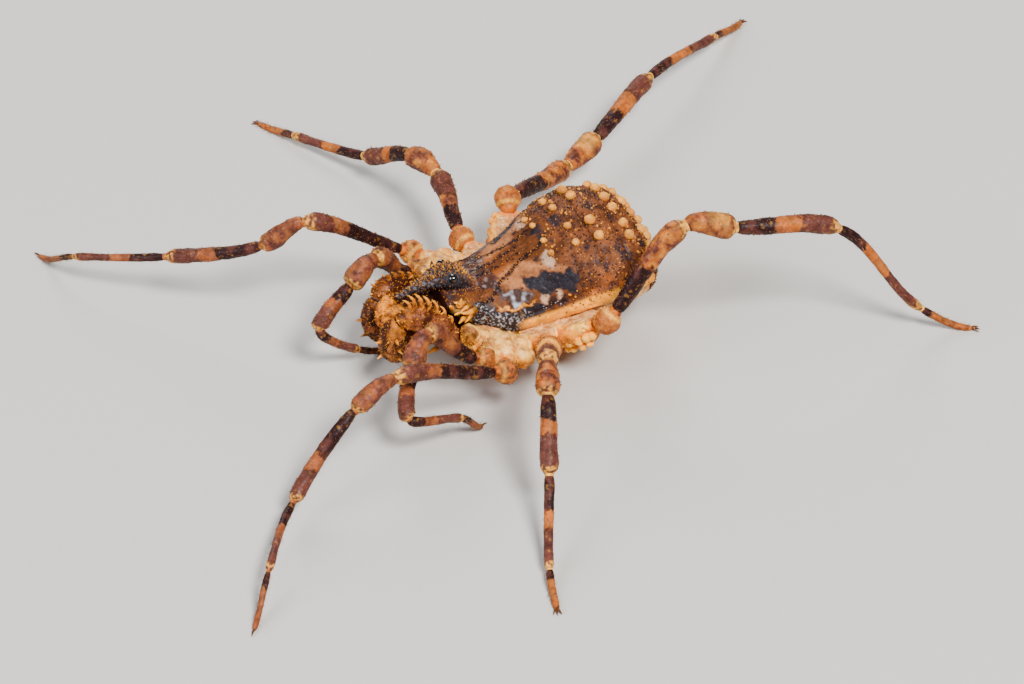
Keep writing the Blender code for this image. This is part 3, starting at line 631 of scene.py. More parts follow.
def add_hairs(build, sheet, cells, draw, lengths, radius, lean, tints):
    """Fine hairs that stand on a skin and lean along it."""
    spots, ups, places = rooted(sheet, cells, draw)
    count = len(spots)
    lengths = draw.uniform(*lengths, count)[:, None]
    ahead = sheet.forward()[cells]
    ahead /= np.maximum(np.linalg.norm(ahead, axis=1, keepdims=True), 1e-30)
    aside = np.cross(ups, ahead)
    ahead = ahead * draw.uniform(0.5, 1.3, (count, 1)) * lean + aside * draw.uniform(-0.3, 0.3, (count, 1))
    turns = np.linspace(0, 2 * math.pi, 3, endpoint=False)
    around = np.cross(ups, aside)
    ring = aside[:, None] * np.cos(turns)[None, :, None] - around[:, None] * np.sin(turns)[None, :, None]
    flat = np.stack([np.cos(turns), np.sin(turns)], axis=-1)[None] * 0.0015
    middle = spots + ups * lengths * 0.5 + ahead * lengths * 0.15
    tips = spots + ups * lengths * 0.85 + ahead * lengths * 0.6
    parts = [
        (spots[:, None] + ring * radius - ups[:, None] * radius, places[:, None] + flat),
        (middle[:, None] + ring * radius * 0.7, places[:, None] + flat * 0.6),
        (tips[:, None], places[:, None]),
    ]
    stand_up(build, parts, tints)


def section(centre, way, guide, radius, sides, flat=1.0):
    """A round or flattened cross-section of a limb."""
    up = (guide - way * guide.dot(way)).normalized()
    flank = way.cross(up)
    ring = []
    for side in range(sides):
        angle = 2 * math.pi * side / sides
        ring.append(centre + (flank * math.cos(angle) * flat + up * math.sin(angle)) * radius)
    return ring


def limb_sheet(stations, start, end, rings, sides, guide):
    """A skin along a smooth limb between two of its stations."""
    made = []
    for step in range(rings):
        place = start + (end - start) * step / (rings - 1)
        centre, radius = limb_point(stations, place)
        made.append(section(centre, limb_way(stations, place), guide, radius, sides))
    return Sheet(made)


def spine_sheet(root, tip, radius, curl, rings, sides, flat, blunt, taper=1.6):
    """A tapered spine from its sunk root to its tip, bent by curl in the middle."""
    curl = Vector(curl)
    made = []
    for step in range(rings):
        share = step / (rings - 1)
        place = root.lerp(tip, share) + curl * (4 * share * (1 - share))
        way = ((tip - root) + curl * (4 - 8 * share)).normalized()
        guide = Vector((0, 1, 0)) if abs(way.y) < 0.8 else Vector((0, 0, 1))
        wide = radius * (blunt + (1 - blunt) * (1 - share**taper) ** 0.75)
        made.append(section(place, way, guide, wide, sides, flat))
    return Sheet(made)


def ball_sheet(centre, radius, way, rings, sides):
    """A round ball whose rings run round a given way."""
    guide = Vector((0, 0, 1)) if abs(way.z) < 0.8 else Vector((0, 1, 0))
    made = []
    for step in range(rings):
        angle = math.pi * (0.02 + 0.96 * step / (rings - 1))
        place = centre - way * (radius * math.cos(angle))
        made.append(section(place, way, guide, radius * math.sin(angle), sides))
    return Sheet(made)


# How much lighter or darker than their colour single hairs are
HAIR_CHANGE = 0.15


def colours(colour, count, draw):
    """One colour for each of many small things, each a little lighter or darker."""
    shades = draw.uniform(1 - HAIR_CHANGE, 1 + HAIR_CHANGE, (count, 1))
    return np.hstack([np.array(colour)[None] * shades, np.zeros((count, 1))])


def skin_colours(sheet, cells, blend, draw, wet):
    """The skin's own colours under some small things, blended towards another colour."""
    colour, share, change = blend
    own = sheet.tints[cells]
    own[:, :3] += (np.array(colour) - own[:, :3]) * share
    own[:, :3] *= draw.uniform(1 - change, 1 + change, (len(own), 1))
    own[:, 3] = wet
    return own


def sow(coat, sheet, draw, count, where, blend, radii, heights, lean=0.0, plain=False, wet=0.0):
    """Sows grains over a skin, in its own colours blended by (colour, share, change of light)."""
    cells = pick(sheet, count, draw, where)
    tints = skin_colours(sheet, cells, blend, draw, wet)
    add_grains(coat, sheet, cells, draw, radii, heights, tints, lean, plain)


def join_skins(skins, name, finish, slot, nodes=()):
    """Joins skins into one piece, each with its own strip of the bake map."""
    lay_out(skins)
    build = Build()
    for sheet in skins:
        build.add_sheet(sheet)
    build.finish(name, finish, slot, nodes)


def shares_along(start, end, net):
    """How far along it each point of a skin lies, for a net of so many rings and sides."""
    return np.linspace(start, end, net[0])[:, None] + np.zeros(net)


def ring_mask(values, middle, width):
    """1 where a value is at the middle, and softly down to 0 on both sides."""
    return np.exp(-(((values - middle) / width) ** 2))


# Finishes
SPECULAR_LEVEL = 0.10
COAT_ROUGHNESS = 0.22
GRAIN_LIGHT = (1.18, 1.12, 1.05)


def node(tree, kind, links=(), **values):
    """A shader node with its own values, its sockets' values and what feeds them."""
    made = tree.nodes.new(kind)
    for key, value in values.items():
        if key.startswith("in_"):
            made.inputs[int(key[3:])].default_value = value
        else:
            setattr(made, key, value)
    for socket, source in links:
        tree.links.new(source, made.inputs[socket])
    return made


def chitin(name, rough, grit, waves, dark, wet):
    """Painted skin with fine grain: roughness, height of the grain, its waves a millimetre, dark tone."""
    if name in bpy.data.materials:
        return bpy.data.materials[name]
    made = bpy.data.materials.new(name)
    made.use_nodes = True
    tree = made.node_tree
    shader = tree.nodes["Principled BSDF"]
    place = node(tree, "ShaderNodeTexCoord").outputs["Object"]
    tint = node(tree, "ShaderNodeAttribute", attribute_name="tint")
    spots = node(tree, "ShaderNodeTexNoise", (("Vector", place),), in_2=waves * 500.0, in_3=5.0)
    fine = node(tree, "ShaderNodeTexNoise", (("Vector", place),), in_2=waves * 2600.0, in_3=3.0)
    cells = node(tree, "ShaderNodeTexVoronoi", (("Vector", place),), in_2=waves * 1500.0)
    ramp = node(tree, "ShaderNodeValToRGB", (("Fac", spots.outputs["Fac"]),))
    ramp.color_ramp.elements[0].position = 0.34
    ramp.color_ramp.elements[0].color = (*dark, 1.0)
    ramp.color_ramp.elements[1].position = 0.62
    ramp.color_ramp.elements[1].color = (*GRAIN_LIGHT, 1.0)
    soft = node(tree, "ShaderNodeMix", data_type="RGBA", blend_type="MULTIPLY", in_0=0.8)
    tree.links.new(tint.outputs["Color"], soft.inputs[6])
    tree.links.new(ramp.outputs["Color"], soft.inputs[7])
    edge = node(tree, "ShaderNodeMapRange", (("Value", cells.outputs["Distance"]),),
                in_1=0.1, in_2=0.75, in_3=1.12, in_4=0.72)
    grain = node(tree, "ShaderNodeMix", data_type="RGBA", blend_type="MULTIPLY", in_0=0.7)
    tree.links.new(soft.outputs[2], grain.inputs[6])
    tree.links.new(edge.outputs["Result"], grain.inputs[7])
    tree.links.new(grain.outputs[2], shader.inputs["Base Color"])
    gloss = node(tree, "ShaderNodeMapRange", (("Value", fine.outputs["Fac"]),),
                 in_1=0.3, in_2=0.7, in_3=rough - 0.12, in_4=rough + 0.12)
    damp = node(tree, "ShaderNodeMath", ((0, tint.outputs["Alpha"]),), operation="MULTIPLY", in_1=0.36)
    rest = node(tree, "ShaderNodeMath", ((0, gloss.outputs["Result"]), (1, damp.outputs["Value"])),
                operation="SUBTRACT", use_clamp=True)
    tree.links.new(rest.outputs["Value"], shader.inputs["Roughness"])
    relief = node(tree, "ShaderNodeMath", ((0, fine.outputs["Fac"]), (2, cells.outputs["Distance"])),
                  operation="MULTIPLY_ADD", in_1=-0.8)
    bump = node(tree, "ShaderNodeBump", (("Height", relief.outputs["Value"]),), invert=True)
    bump.inputs["Strength"].default_value = 0.8
    bump.inputs["Distance"].default_value = grit
    tree.links.new(bump.outputs["Normal"], shader.inputs["Normal"])
    shader.inputs["Specular IOR Level"].default_value = SPECULAR_LEVEL
    shader.inputs["Coat Weight"].default_value = wet
    shader.inputs["Coat Roughness"].default_value = COAT_ROUGHNESS
    return made


def shell_finish():
    return chitin("shell_grain", 0.56, mm(0.010), 9.0, (0.62, 0.55, 0.50), wet=0.02)


def belly_finish():
    return chitin("belly_skin", 0.46, mm(0.010), 8.0, (0.72, 0.62, 0.52), wet=0.04)


def leg_finish():
    return chitin("leg_grain", 0.50, mm(0.009), 11.0, (0.55, 0.48, 0.44), wet=0.03)


def palp_finish():
    return chitin("palp_grain", 0.46, mm(0.010), 10.0, (0.58, 0.46, 0.38), wet=0.03)


def bead_finish():
    return chitin("bead_grain", 0.50, mm(0.008), 14.0, (0.66, 0.50, 0.40), wet=0.03)


def claw_finish():
    return chitin("claw_horn", 0.28, mm(0.002), 12.0, (0.60, 0.45, 0.35), wet=0.35)


def eye_finish():
    """A black eye with a clear skin and a faint brown depth."""
    if "eye_gloss" in bpy.data.materials:
        return bpy.data.materials["eye_gloss"]
    made = bpy.data.materials.new("eye_gloss")
    made.use_nodes = True
    tree = made.node_tree
    shader = tree.nodes["Principled BSDF"]
    place = node(tree, "ShaderNodeTexCoord").outputs["Object"]
    depth = node(tree, "ShaderNodeTexNoise", (("Vector", place),), in_2=9000.0, in_3=3.0)
    ramp = node(tree, "ShaderNodeValToRGB", (("Fac", depth.outputs["Fac"]),))
    ramp.color_ramp.elements[0].color = (0.002, 0.002, 0.003, 1.0)
    ramp.color_ramp.elements[1].color = (0.005, 0.004, 0.005, 1.0)
    tree.links.new(ramp.outputs["Color"], shader.inputs["Base Color"])
    gloss = node(tree, "ShaderNodeMapRange", (("Value", depth.outputs["Fac"]),), in_3=0.05, in_4=0.12)
    tree.links.new(gloss.outputs["Result"], shader.inputs["Roughness"])
    bump = node(tree, "ShaderNodeBump", (("Height", depth.outputs["Fac"]),))
    bump.inputs["Strength"].default_value = 0.15
    bump.inputs["Distance"].default_value = mm(0.001)
    tree.links.new(bump.outputs["Normal"], shader.inputs["Normal"])
    shader.inputs["Coat Weight"].default_value = 1.0
    shader.inputs["Coat Roughness"].default_value = 0.03
    return made


# Starts of the random draws of each region
SHIELD_DRAW, TAIL_DRAW, BELLY_DRAW, HOOD_DRAW, PALP_DRAW, JAW_DRAW, LEG_DRAW = 11, 12, 13, 14, 15, 16, 100

# Nets of the skins: rings, then points round each, or on the upper and the lower side of a domed one
SHIELD_NET = (250, 230, 16)
TAIL_NET = (90, 150, 60)
BELLY_NET = (130, 80, 80)
HOOD_NET = (170, 84, 40)
BLADE_NET = (30, 20)
BEAD_NET = (24, 28)
HIP_NET = (100, 80)
LOBE_NET = (44, 50)
WART_NET = (26, 30)
EYE_NET = (40, 48)
# How much larger the eye's skin is than its solid
EYE_BULGE = 1.13

# Colours of small things, which the panel doesn't list
STREAK_GREY = (0.26, 0.20, 0.20)
# Painted reflection of the sky, laid over the wet patch of the shield
SKY_SHEEN = (0.62, 0.66, 0.78)
# Painted glints: whitish flecks on the low dark band of the shield
BAND_GLINTS = (0.42, 0.40, 0.42)
# Grains of the low dark band: the grains are real, their pale bluish grey is a painted glint
BAND_GLINT_GRAIN = (0.42, 0.42, 0.46)
PATCH_GRAIN = (0.05, 0.05, 0.07)
# Painted glints on the flesh of the hips and lobes
FLESH_GLINT = (0.97, 0.80, 0.50)
HOOD_BLUE = (0.10, 0.11, 0.15)
EYE_RING = (0.022, 0.027, 0.038)
HORN_VEIN = (0.13, 0.13, 0.17)
HOOD_GRAIN = (0.035, 0.036, 0.05)

# The camera's ray: where it starts to look for the shield, the length of a step and the most steps
RAY_START = mm(95)
RAY_STEP = mm(0.01)
RAY_STEPS = 1200


def in_shield(place):
    """Whether a point lies inside the back shield."""
    if not SHIELD_STATIONS[0][0] <= place.x <= SHIELD_STATIONS[-1][0]:
        return False
    width, top, rim = along(SHIELD_STATIONS, place.x)[:3]
    if place.z < rim:
        return abs(place.y) < width and place.z > rim - RIM_DEPTH
    return (place.y / width) ** 2 + ((place.z - rim) / (top - rim)) ** 2 < 1


def shield_point(across, down):
    """Where the ray through a pixel meets the shield, in millimetres along it and out from its middle."""
    pixels = CAMERA_LENS / SENSOR_WIDTH * FRAME_WIDTH
    right, below = (across - FRAME_WIDTH / 2) / pixels, (down - FRAME_HEIGHT / 2) / pixels
    ray = (CAMERA_LOOK + CAMERA_RIGHT * right - CAMERA_RIGHT.cross(CAMERA_LOOK) * below).normalized()
    place = Vector(CAMERA_AIM) - CAMERA_LOOK * CAMERA_DISTANCE + ray * RAY_START
    for _ in range(RAY_STEPS):
        place = place + ray * RAY_STEP
        if in_shield(place):
            return round(place.x * 1000, 2), round(abs(place.y) * 1000, 2)
    raise ValueError(f"pixel {across}, {down} isn't on the shield")


def on_shield(pixels):
    """The points of the shield behind some pixels."""
    return [shield_point(*pixel) for pixel in pixels]


def spots_on_shield(spots):
    """Round spots with their pixel and their radius in millimetres, as places on the shield."""
    return [(*shield_point(across, down), radius) for across, down, radius in spots]


# The shield's markings: corners as pixels read one by one, and the rest in millimetres along and across one
# half
DARK_PIXELS = (
    (521.4, 277), (526.4, 277), (535, 276.4), (543.6, 272.9), (553.6, 271.4), (563.6, 273.6),
    (569.3, 268.6), (573.6, 270.7), (579.3, 275), (579.3, 281.4), (577, 287.9), (579.3, 293.6),
    (576.4, 296.4), (570.7, 293.6), (567.9, 287.9), (563.6, 285), (557.9, 289.3), (553.6, 293.6),
    (547.9, 297.9), (542, 295), (535, 289.3), (529.3, 287.9), (523.6, 283.6),
)
# The wet patch: a dark glossy mark with a painted highlight over its middle
WET_SHEEN_PIXELS = (
    (497.9, 293.6), (505, 292), (516.4, 289.3), (525, 289.3), (532, 292), (533.6, 296.4),
    (529.3, 300.7), (530.7, 307.9), (523.6, 310.7), (516.4, 310.7), (509.3, 302), (502, 299.3),
)
BAND_PIXELS = (
    (472, 315), (473.6, 307.9), (476, 303.6), (483.6, 302.9), (490.7, 303.6), (497.9, 308.6),
    (509.3, 312), (520.7, 312), (529.3, 310.7), (535, 306.4), (540.7, 303.6), (553.6, 301.4),
    (569.3, 300.7),
)
BAND_NOTCH = (555, 304.3)
TAN_PIXELS = (
    (499.3, 273.6), (509.3, 266.4), (519.3, 260.7), (530.7, 260.7), (540.7, 263.6), (549.3, 266.4),
    (560.7, 266.4), (569.3, 267.9), (563.6, 273.6), (553.6, 271.4), (543.6, 272.9), (535, 276.4),
    (521.4, 277), (523.6, 283.6), (529.3, 287.9), (519, 288.6), (512, 289.3),
)
STREAK_INNER = (500, 277)
STREAK_PIXELS = ((506, 292), (497, 293), (488, 290))
# Painted highlight on the tan field: pixel of its middle and radius in millimetres
HIGHLIGHT_PIXELS = ((548, 260, 0.09),)
BLOTCH_PIXELS = (
    (536, 259, 0.05), (541, 236, 0.10), (568, 245, 0.09), (583.6, 266, 0.035), (590, 275, 0.045),
    (627, 253, 0.12), (563.6, 300.7, 0.05), (600, 262, 0.04), (570, 225, 0.07), (557, 222, 0.10),
)
ROW_PIXELS = ((461, 261), (480, 257), (502, 248), (518, 238), (530, 228))

DARK_PATCH = on_shield(DARK_PIXELS)
WET_SHEEN_PATCH = on_shield(WET_SHEEN_PIXELS)
LOW_BAND = (
    *on_shield(BAND_PIXELS), (0.47, 1.03), shield_point(*BAND_NOTCH), (0.22, 0.92), (0.12, 0.95),
    (0.01, 0.99), (-0.20, 0.99), (-0.50, 0.94), (-0.72, 0.84), (-0.90, 0.76),
)
FRONT_STREAK = (
    (-1.20, 0.00), (-0.61, 0.00), (-0.45, 0.05), (-0.33, 0.12), shield_point(*STREAK_INNER),
    (-0.36, 0.32), *on_shield(STREAK_PIXELS), (-0.72, 0.30), (-0.95, 0.30), (-1.20, 0.32),
)
TAN_FIELD = (*on_shield(TAN_PIXELS), (-0.29, 0.45), (-0.37, 0.36), (-0.37, 0.26))
# Painted highlights: pale glossy spots on the tan fields, each with its place and radius
PALE_HIGHLIGHTS = (
    *spots_on_shield(HIGHLIGHT_PIXELS), (0.43, 0.40, 0.07), (0.50, 0.58, 0.07), (0.22, 0.83, 0.06),
    (0.45, 0.92, 0.05),
)
DARK_BLOTCHES = (
    *spots_on_shield(BLOTCH_PIXELS), (1.23, 1.05, 0.06), (1.50, 0.86, 0.08), (1.23, 1.20, 0.06),
    (1.44, 0.06, 0.09), (1.46, 0.72, 0.05), (1.82, 0.62, 0.06), (1.95, 0.78, 0.08), (1.70, 0.32, 0.07),
    (0.62, 0.30, 0.06), (1.05, 0.70, 0.05),
)
ROW_OF_GRAINS = ((-0.90, 0.56), *on_shield(ROW_PIXELS))
# Furrows across the shield, and the rows of large grains ahead of and behind them, in millimetres along it
ROW_LINES = (0.80, 1.20, 1.64)
GRAIN_LINES = (0.60, 0.98, 1.42, 1.86)
# Blades at the shield's front corners: root, way to the tip, bend, radius, and share of brown
CORNER_BLADES = (
    (mm(-0.98, 0.44, 1.39), mm(-0.20, 0.01, 0.07), mm(0, 0, -0.02), mm(0.046), 0.30),
    (mm(-0.92, 0.50, 1.34), mm(-0.26, 0.06, -0.07), mm(0.01, 0, 0.03), mm(0.036), 0.15),
    (mm(-0.86, 0.58, 1.30), mm(-0.31, 0.03, 0.07), mm(0, 0.01, -0.03), mm(0.052), 0.15),
    (mm(-0.92, 0.60, 1.24), mm(-0.20, 0.10, -0.04), mm(0, 0.01, 0.02), mm(0.038), 0.55),
    (mm(-1.06, 0.54, 1.16), mm(-0.13, 0.10, 0.02), mm(0, 0.01, 0.03), mm(0.060), 0.95),
    (mm(-1.10, 0.44, 1.32), mm(0.01, 0.09, 0.24), mm(0, 0, 0), mm(0.060), 0.95),
    (mm(-1.20, 0.42, 1.30), mm(-0.09, 0.09, 0.15), mm(0, 0, 0.03), mm(0.040), 0.60),
    (mm(-1.10, 0.50, 1.24), mm(-0.13, 0.07, 0.07), mm(0, 0, 0.02), mm(0.034), 0.10),
)
# Lobes and folds of the flesh beside the hips: place, radius, and share of brown
FLESH_LOBES = (
    (mm(-1.09, 0.84, 1.06), mm(0.160), 0.85),
    (mm(-0.88, 1.12, 0.93), mm(0.150), 0.45),
    (mm(-0.43, 1.38, 0.75), mm(0.175), 0.0),
    (mm(-0.52, 1.22, 0.74), mm(0.200), 0.0),
    (mm(-0.36, 1.12, 0.76), mm(0.200), 0.0),
    (mm(0.20, 1.06, 0.74), mm(0.200), 0.0),
    (mm(-1.22, 0.26, 0.84), mm(0.210), 1.0),
    (mm(-1.42, 0.24, 0.82), mm(0.200), 1.0),
    (mm(-1.62, 0.22, 0.80), mm(0.185), 1.0),
    (mm(-1.80, 0.20, 0.77), mm(0.160), 1.0),
)
# Warts on the last hip: share of its length, turn up from its lower edge, distance from its axis, and radius
WARTS = (
    (0.16, 28, mm(0.44), mm(0.060)), (0.29, 32, mm(0.44), mm(0.075)), (0.48, 35, mm(0.40), mm(0.080)),
    (0.64, 35, mm(0.34), mm(0.080)), (0.82, 30, mm(0.29), mm(0.070)), (0.26, 8, mm(0.47), mm(0.060)),
    (0.37, 10, mm(0.46), mm(0.065)), (0.55, 12, mm(0.43), mm(0.068)), (0.72, 8, mm(0.37), mm(0.062)),
    (0.40, 55, mm(0.33), mm(0.045)), (0.56, 58, mm(0.31), mm(0.040)),
)


def row_path(along_x):
    """How far from the middle the row of dark grains runs on each half, in millimetres."""
    return np.interp(along_x, *zip(*ROW_OF_GRAINS))


def within(outline, along_x, across_y):
    """How far in millimetres points lie inside an outline, below zero outside it."""
    corners = np.array(outline)
    nearest = np.full(along_x.shape, 1e9)
    inside = np.zeros(along_x.shape, bool)
    for (ax, ay), (bx, by) in zip(corners, np.roll(corners, -1, axis=0)):
        share = ((along_x - ax) * (bx - ax) + (across_y - ay) * (by - ay)) / ((bx - ax) ** 2 + (by - ay) ** 2)
        share = np.clip(share, 0.0, 1.0)
        gap = np.hypot(along_x - ax - share * (bx - ax), across_y - ay - share * (by - ay))
        nearest = np.minimum(nearest, gap)
        crossed = (ay > across_y) != (by > across_y)
        reach = ax + (across_y - ay) * (bx - ax) / ((by - ay) if by != ay else 1e-9)
        inside ^= crossed & (along_x < reach)
    return np.where(inside, nearest, -nearest)


def spot_mask(along_x, across_y, spots):
    """A soft mask of round spots, each with its place along, across and radius."""
    mask = np.zeros(along_x.shape)
    for x, y, radius in spots:
        mask = np.maximum(mask, soft_step(radius - np.hypot(along_x - x, across_y - y), -0.02, 0.03))
    return mask


def dome_sheet(stations, net, depth=None, lead=0.0):
    """A skin over domed cross-sections, from a little ahead of the first station to the last one."""
    rings_along, upper, lower = net
    turns = [math.pi * step / upper for step in range(upper)]
    turns += [math.pi + math.pi * step / lower for step in range(lower)]
    rings = []
    for place in np.linspace(stations[0][0] - lead, stations[-1][0], rings_along):
        values = along(stations, place)
        width, top, middle = values[:3]
        bottom = middle - depth if depth else values[3]
        ring = []
        for angle in turns:
            height = math.sin(angle)
            reach = top - middle if height > 0 else middle - bottom
            ring.append((place, width * math.cos(angle), middle + reach * height))
        rings.append(ring)
    sheet = Sheet(rings)
    sheet.height = np.tile(np.maximum(np.sin(turns), 0.0), (len(rings), 1))
    return sheet


def make_shield(look):
    """The back shield with its markings, painted highlights and glints, its margin, rows of grains and beads.
    """
    sheet = dome_sheet(SHIELD_STATIONS, SHIELD_NET, RIM_DEPTH)
    hanging = soft_step(-sheet.points[..., 0], mm(-0.05), mm(0.25)) * (sheet.height <= 0)
    sheet.points[..., 2] -= hanging * mm(0.05)
    spots = sheet.points * 1000
    wave, fine = ripple(sheet.points, 7), ripple(sheet.points, 26, 9.1)
    x = spots[..., 0] + wave * 0.045 + fine * 0.022
    y = np.abs(spots[..., 1]) + ripple(sheet.points, 7, 40.0) * 0.045 + ripple(sheet.points, 26, 31.0) * 0.022
    height = sheet.height
    sheet.paint(look.shell_front)
    sheet.lay(look.shell_rear, soft_step(x, 0.35, 1.0))
    sheet.mottle(3.1, 0.35)
    sheet.cloud(look.shell_deep, (5.5, 77.0), (0.10, 0.45), 0.55)
    sheet.lay(look.shell_tan, soft_step(within(TAN_FIELD, x, y), -0.05, 0.04) * 0.85, 0.4)
    sheet.cloud(look.shell_front, (19, 7.0), (-0.1, 0.5), 0.35)
    # Painted highlights: pale glossy spots on the tan fields
    sheet.lay(look.pale, spot_mask(x, y, PALE_HIGHLIGHTS) * 0.45, 0.7)
    middle = ring_mask(y, 0.07, 0.05) * soft_step(x, -0.9, -0.4) * (1 - soft_step(x, 0.1, 0.4))
    sheet.lay(look.shell_deep, middle * soft_step(fine + wave, -0.4, 0.3) * 0.8)
    sheet.lay(look.orange, ring_mask(y, 0.17, 0.07) * soft_step(-x, -0.1, 0.4) * 0.25)
    sheet.lay(look.shell_deep, ring_mask(y, row_path(x), 0.035) * (1 - soft_step(x, 0.4, 0.6)) * 0.8)
    for line in ROW_LINES:
        sheet.lay(look.shell_deep, ring_mask(x, line, 0.05) * soft_step(fine, -0.2, 0.3) * 0.75)
    sheet.lay(look.dark, spot_mask(x, y, DARK_BLOTCHES) * soft_step(fine + wave, -0.5, 0.1) * 0.85)
    lower = soft_step(0.45 - height, 0, 0.25) * (1 - soft_step(x, -0.2, 0.3))
    sheet.lay(look.cream, lower * 0.35)
    rear_side = soft_step(0.55 - height, 0, 0.3) * soft_step(x, 0.75, 1.1)
    sheet.lay(look.orange, rear_side * soft_step(wave, -0.2, 0.5) * 0.5)
    for outline, depth in ((FRONT_STREAK, 0.72), (WET_SHEEN_PATCH, 0.70), (LOW_BAND, 0.95), (DARK_PATCH, 0.97)):
        sheet.lay(look.dark, soft_step(within(outline, x, y), -0.018, 0.018) * depth, 0.25)
    sheet.lay(STREAK_GREY, soft_step(within(FRONT_STREAK, x, y), 0.0, 0.05) *
              soft_step(ripple(sheet.points, 13, 90.0), 0.0, 0.4) * 0.5, 0.5)
    # Painted highlight: a bluish white reflection of the sky over the wet patch, strong on the left side and
    # faint on the right
    sheen = soft_step(within(WET_SHEEN_PATCH, x, y), 0.0, 0.06) * (1 - 0.75 * (spots[..., 1] > 0))
    sheet.lay(SKY_SHEEN, sheen * soft_step(ripple(sheet.points, 9, 12.0), -0.25, 0.35) * 0.75, 1.0)
    sheet.lay(look.margin, soft_step(within(LOW_BAND, x, y) + 0.05, 0, 0.02) *
              soft_step(-within(LOW_BAND, x, y), 0.0, 0.02) *
              soft_step(x, -0.55, -0.40) * (1 - soft_step(x, 0.0, 0.10)) * 0.8, 0.5)
    # Painted glints: whitish glossy flecks over the low dark band, not at its front
    glints = soft_step(ripple(sheet.points, 30, 3.0), 0.10, 0.4) * soft_step(within(LOW_BAND, x, y), 0, 0.03)
    glints *= 1 - soft_step(x, -0.12, 0.02)
    sheet.lay(BAND_GLINTS, glints * 0.7, 1.0)
    margin = (1 - soft_step(height, 0.16, 0.24)) * soft_step(x, -0.30, -0.05)
    sheet.lay(look.margin, margin, 0.5)
    sheet.lay(look.cream, margin * soft_step(ripple(sheet.points, 6, 5.0), 0.0, 0.5) * 0.35)
    front = 1 - soft_step(spots[..., 0], -1.15, -1.0)
    sheet.lay(look.dark, front * soft_step(fine + wave, -0.4, 0.2) * 0.7)
    sheet.lay(look.palp_dark, 1 - soft_step(spots[..., 0], -1.26, -1.20))
    ridge = ring_mask(height, 0.10, 0.09) * soft_step(spots[..., 0], -0.2, 0.1)
    furrow = ring_mask(height, 0.29, 0.05) * soft_step(spots[..., 0], -0.2, 0.1)
    swell = ridge * mm(0.022) - furrow * mm(0.022)
    for line in ROW_LINES:
        swell -= ring_mask(spots[..., 0], line, 0.035) * soft_step(height, 0.2, 0.4) * mm(0.022)
    sheet.swell(swell)
    sheet.roughen((3.2, mm(0.016)), (9, mm(0.007)), (27, mm(0.0035)))
    draw = np.random.default_rng(SHIELD_DRAW)
    beads = bead_sheets(SHIELD_STATIONS, SHIELD_BEADS, look, draw)
    corners = []
    for root, reach, curl, radius, shade in CORNER_BLADES:
        for side in (-1, 1):
            begin, curve = mirrored(root, side), mirrored(curl, side)
            tip = begin + mirrored(reach, side)
            blade = spine_sheet(begin, tip, radius, curve, *BLADE_NET, 1.1, 0.06, 1.2)
            share = shares_along(0, 1, BLADE_NET)
            under = soft_step(-blade.normals()[..., 2], 0.0, 0.7)
            blade.paint(look.margin, 0.4)
            blade.lay(look.cream, soft_step(share, 0.5, 0.9) * 0.5)
            blade.lay(look.orange, under * 0.8)
            blade.lay(look.shell_deep, soft_step(ripple(blade.points, 12), -0.1, 0.3) * shade)
            blade.lay(look.shell_deep, (1 - soft_step(share, 0.15, 0.4)) * 0.8)
            blade.roughen((12, radius * 0.22), (30, radius * 0.10))
            corners.append(blade)
    join_skins([sheet, *corners], "shield_skin", shell_finish(), "shell", ("shield",))
    join_skins(beads, "shield_beads", bead_finish(), "shell")
    shield_grains(sheet, beads, spots, look, draw)


def bead_sheets(stations, rows, look, draw, grown=1.0):
    """Round beads in rows across a dome, each a little different."""
    made = []
    for place, halves, radius in rows:
        for across in np.atleast_1d(halves):
            for side in (-1, 1):
                spot = dome_point(stations, place, across * side)
                spot += Vector(mm(*draw.uniform(-0.012, 0.012, 3))) + Vector((0, 0, radius * 0.30))
                up = Vector((0.25, across * side * 300, 1.0)).normalized()
                bead = ball_sheet(spot, radius * grown * draw.uniform(0.92, 1.05), up, *BEAD_NET)
                bead.paint(np.array(look.bead) * draw.uniform(0.85, 1.12))
                rise = (bead.points - np.array(spot)) @ np.array(up) / radius
                bead.lay(look.cream, soft_step(rise, 0.3, 0.9) * 0.22)
                bead.lay(look.shell_deep, (1 - soft_step(rise, -0.3, 0.1)) * 0.75)
                bead.cloud(look.orange, (13, 0), (0.05, 0.5), 0.45)
                bead.roughen((7, radius * 0.10), (19, radius * 0.06), (42, radius * 0.03))
                made.append(bead)
    return made


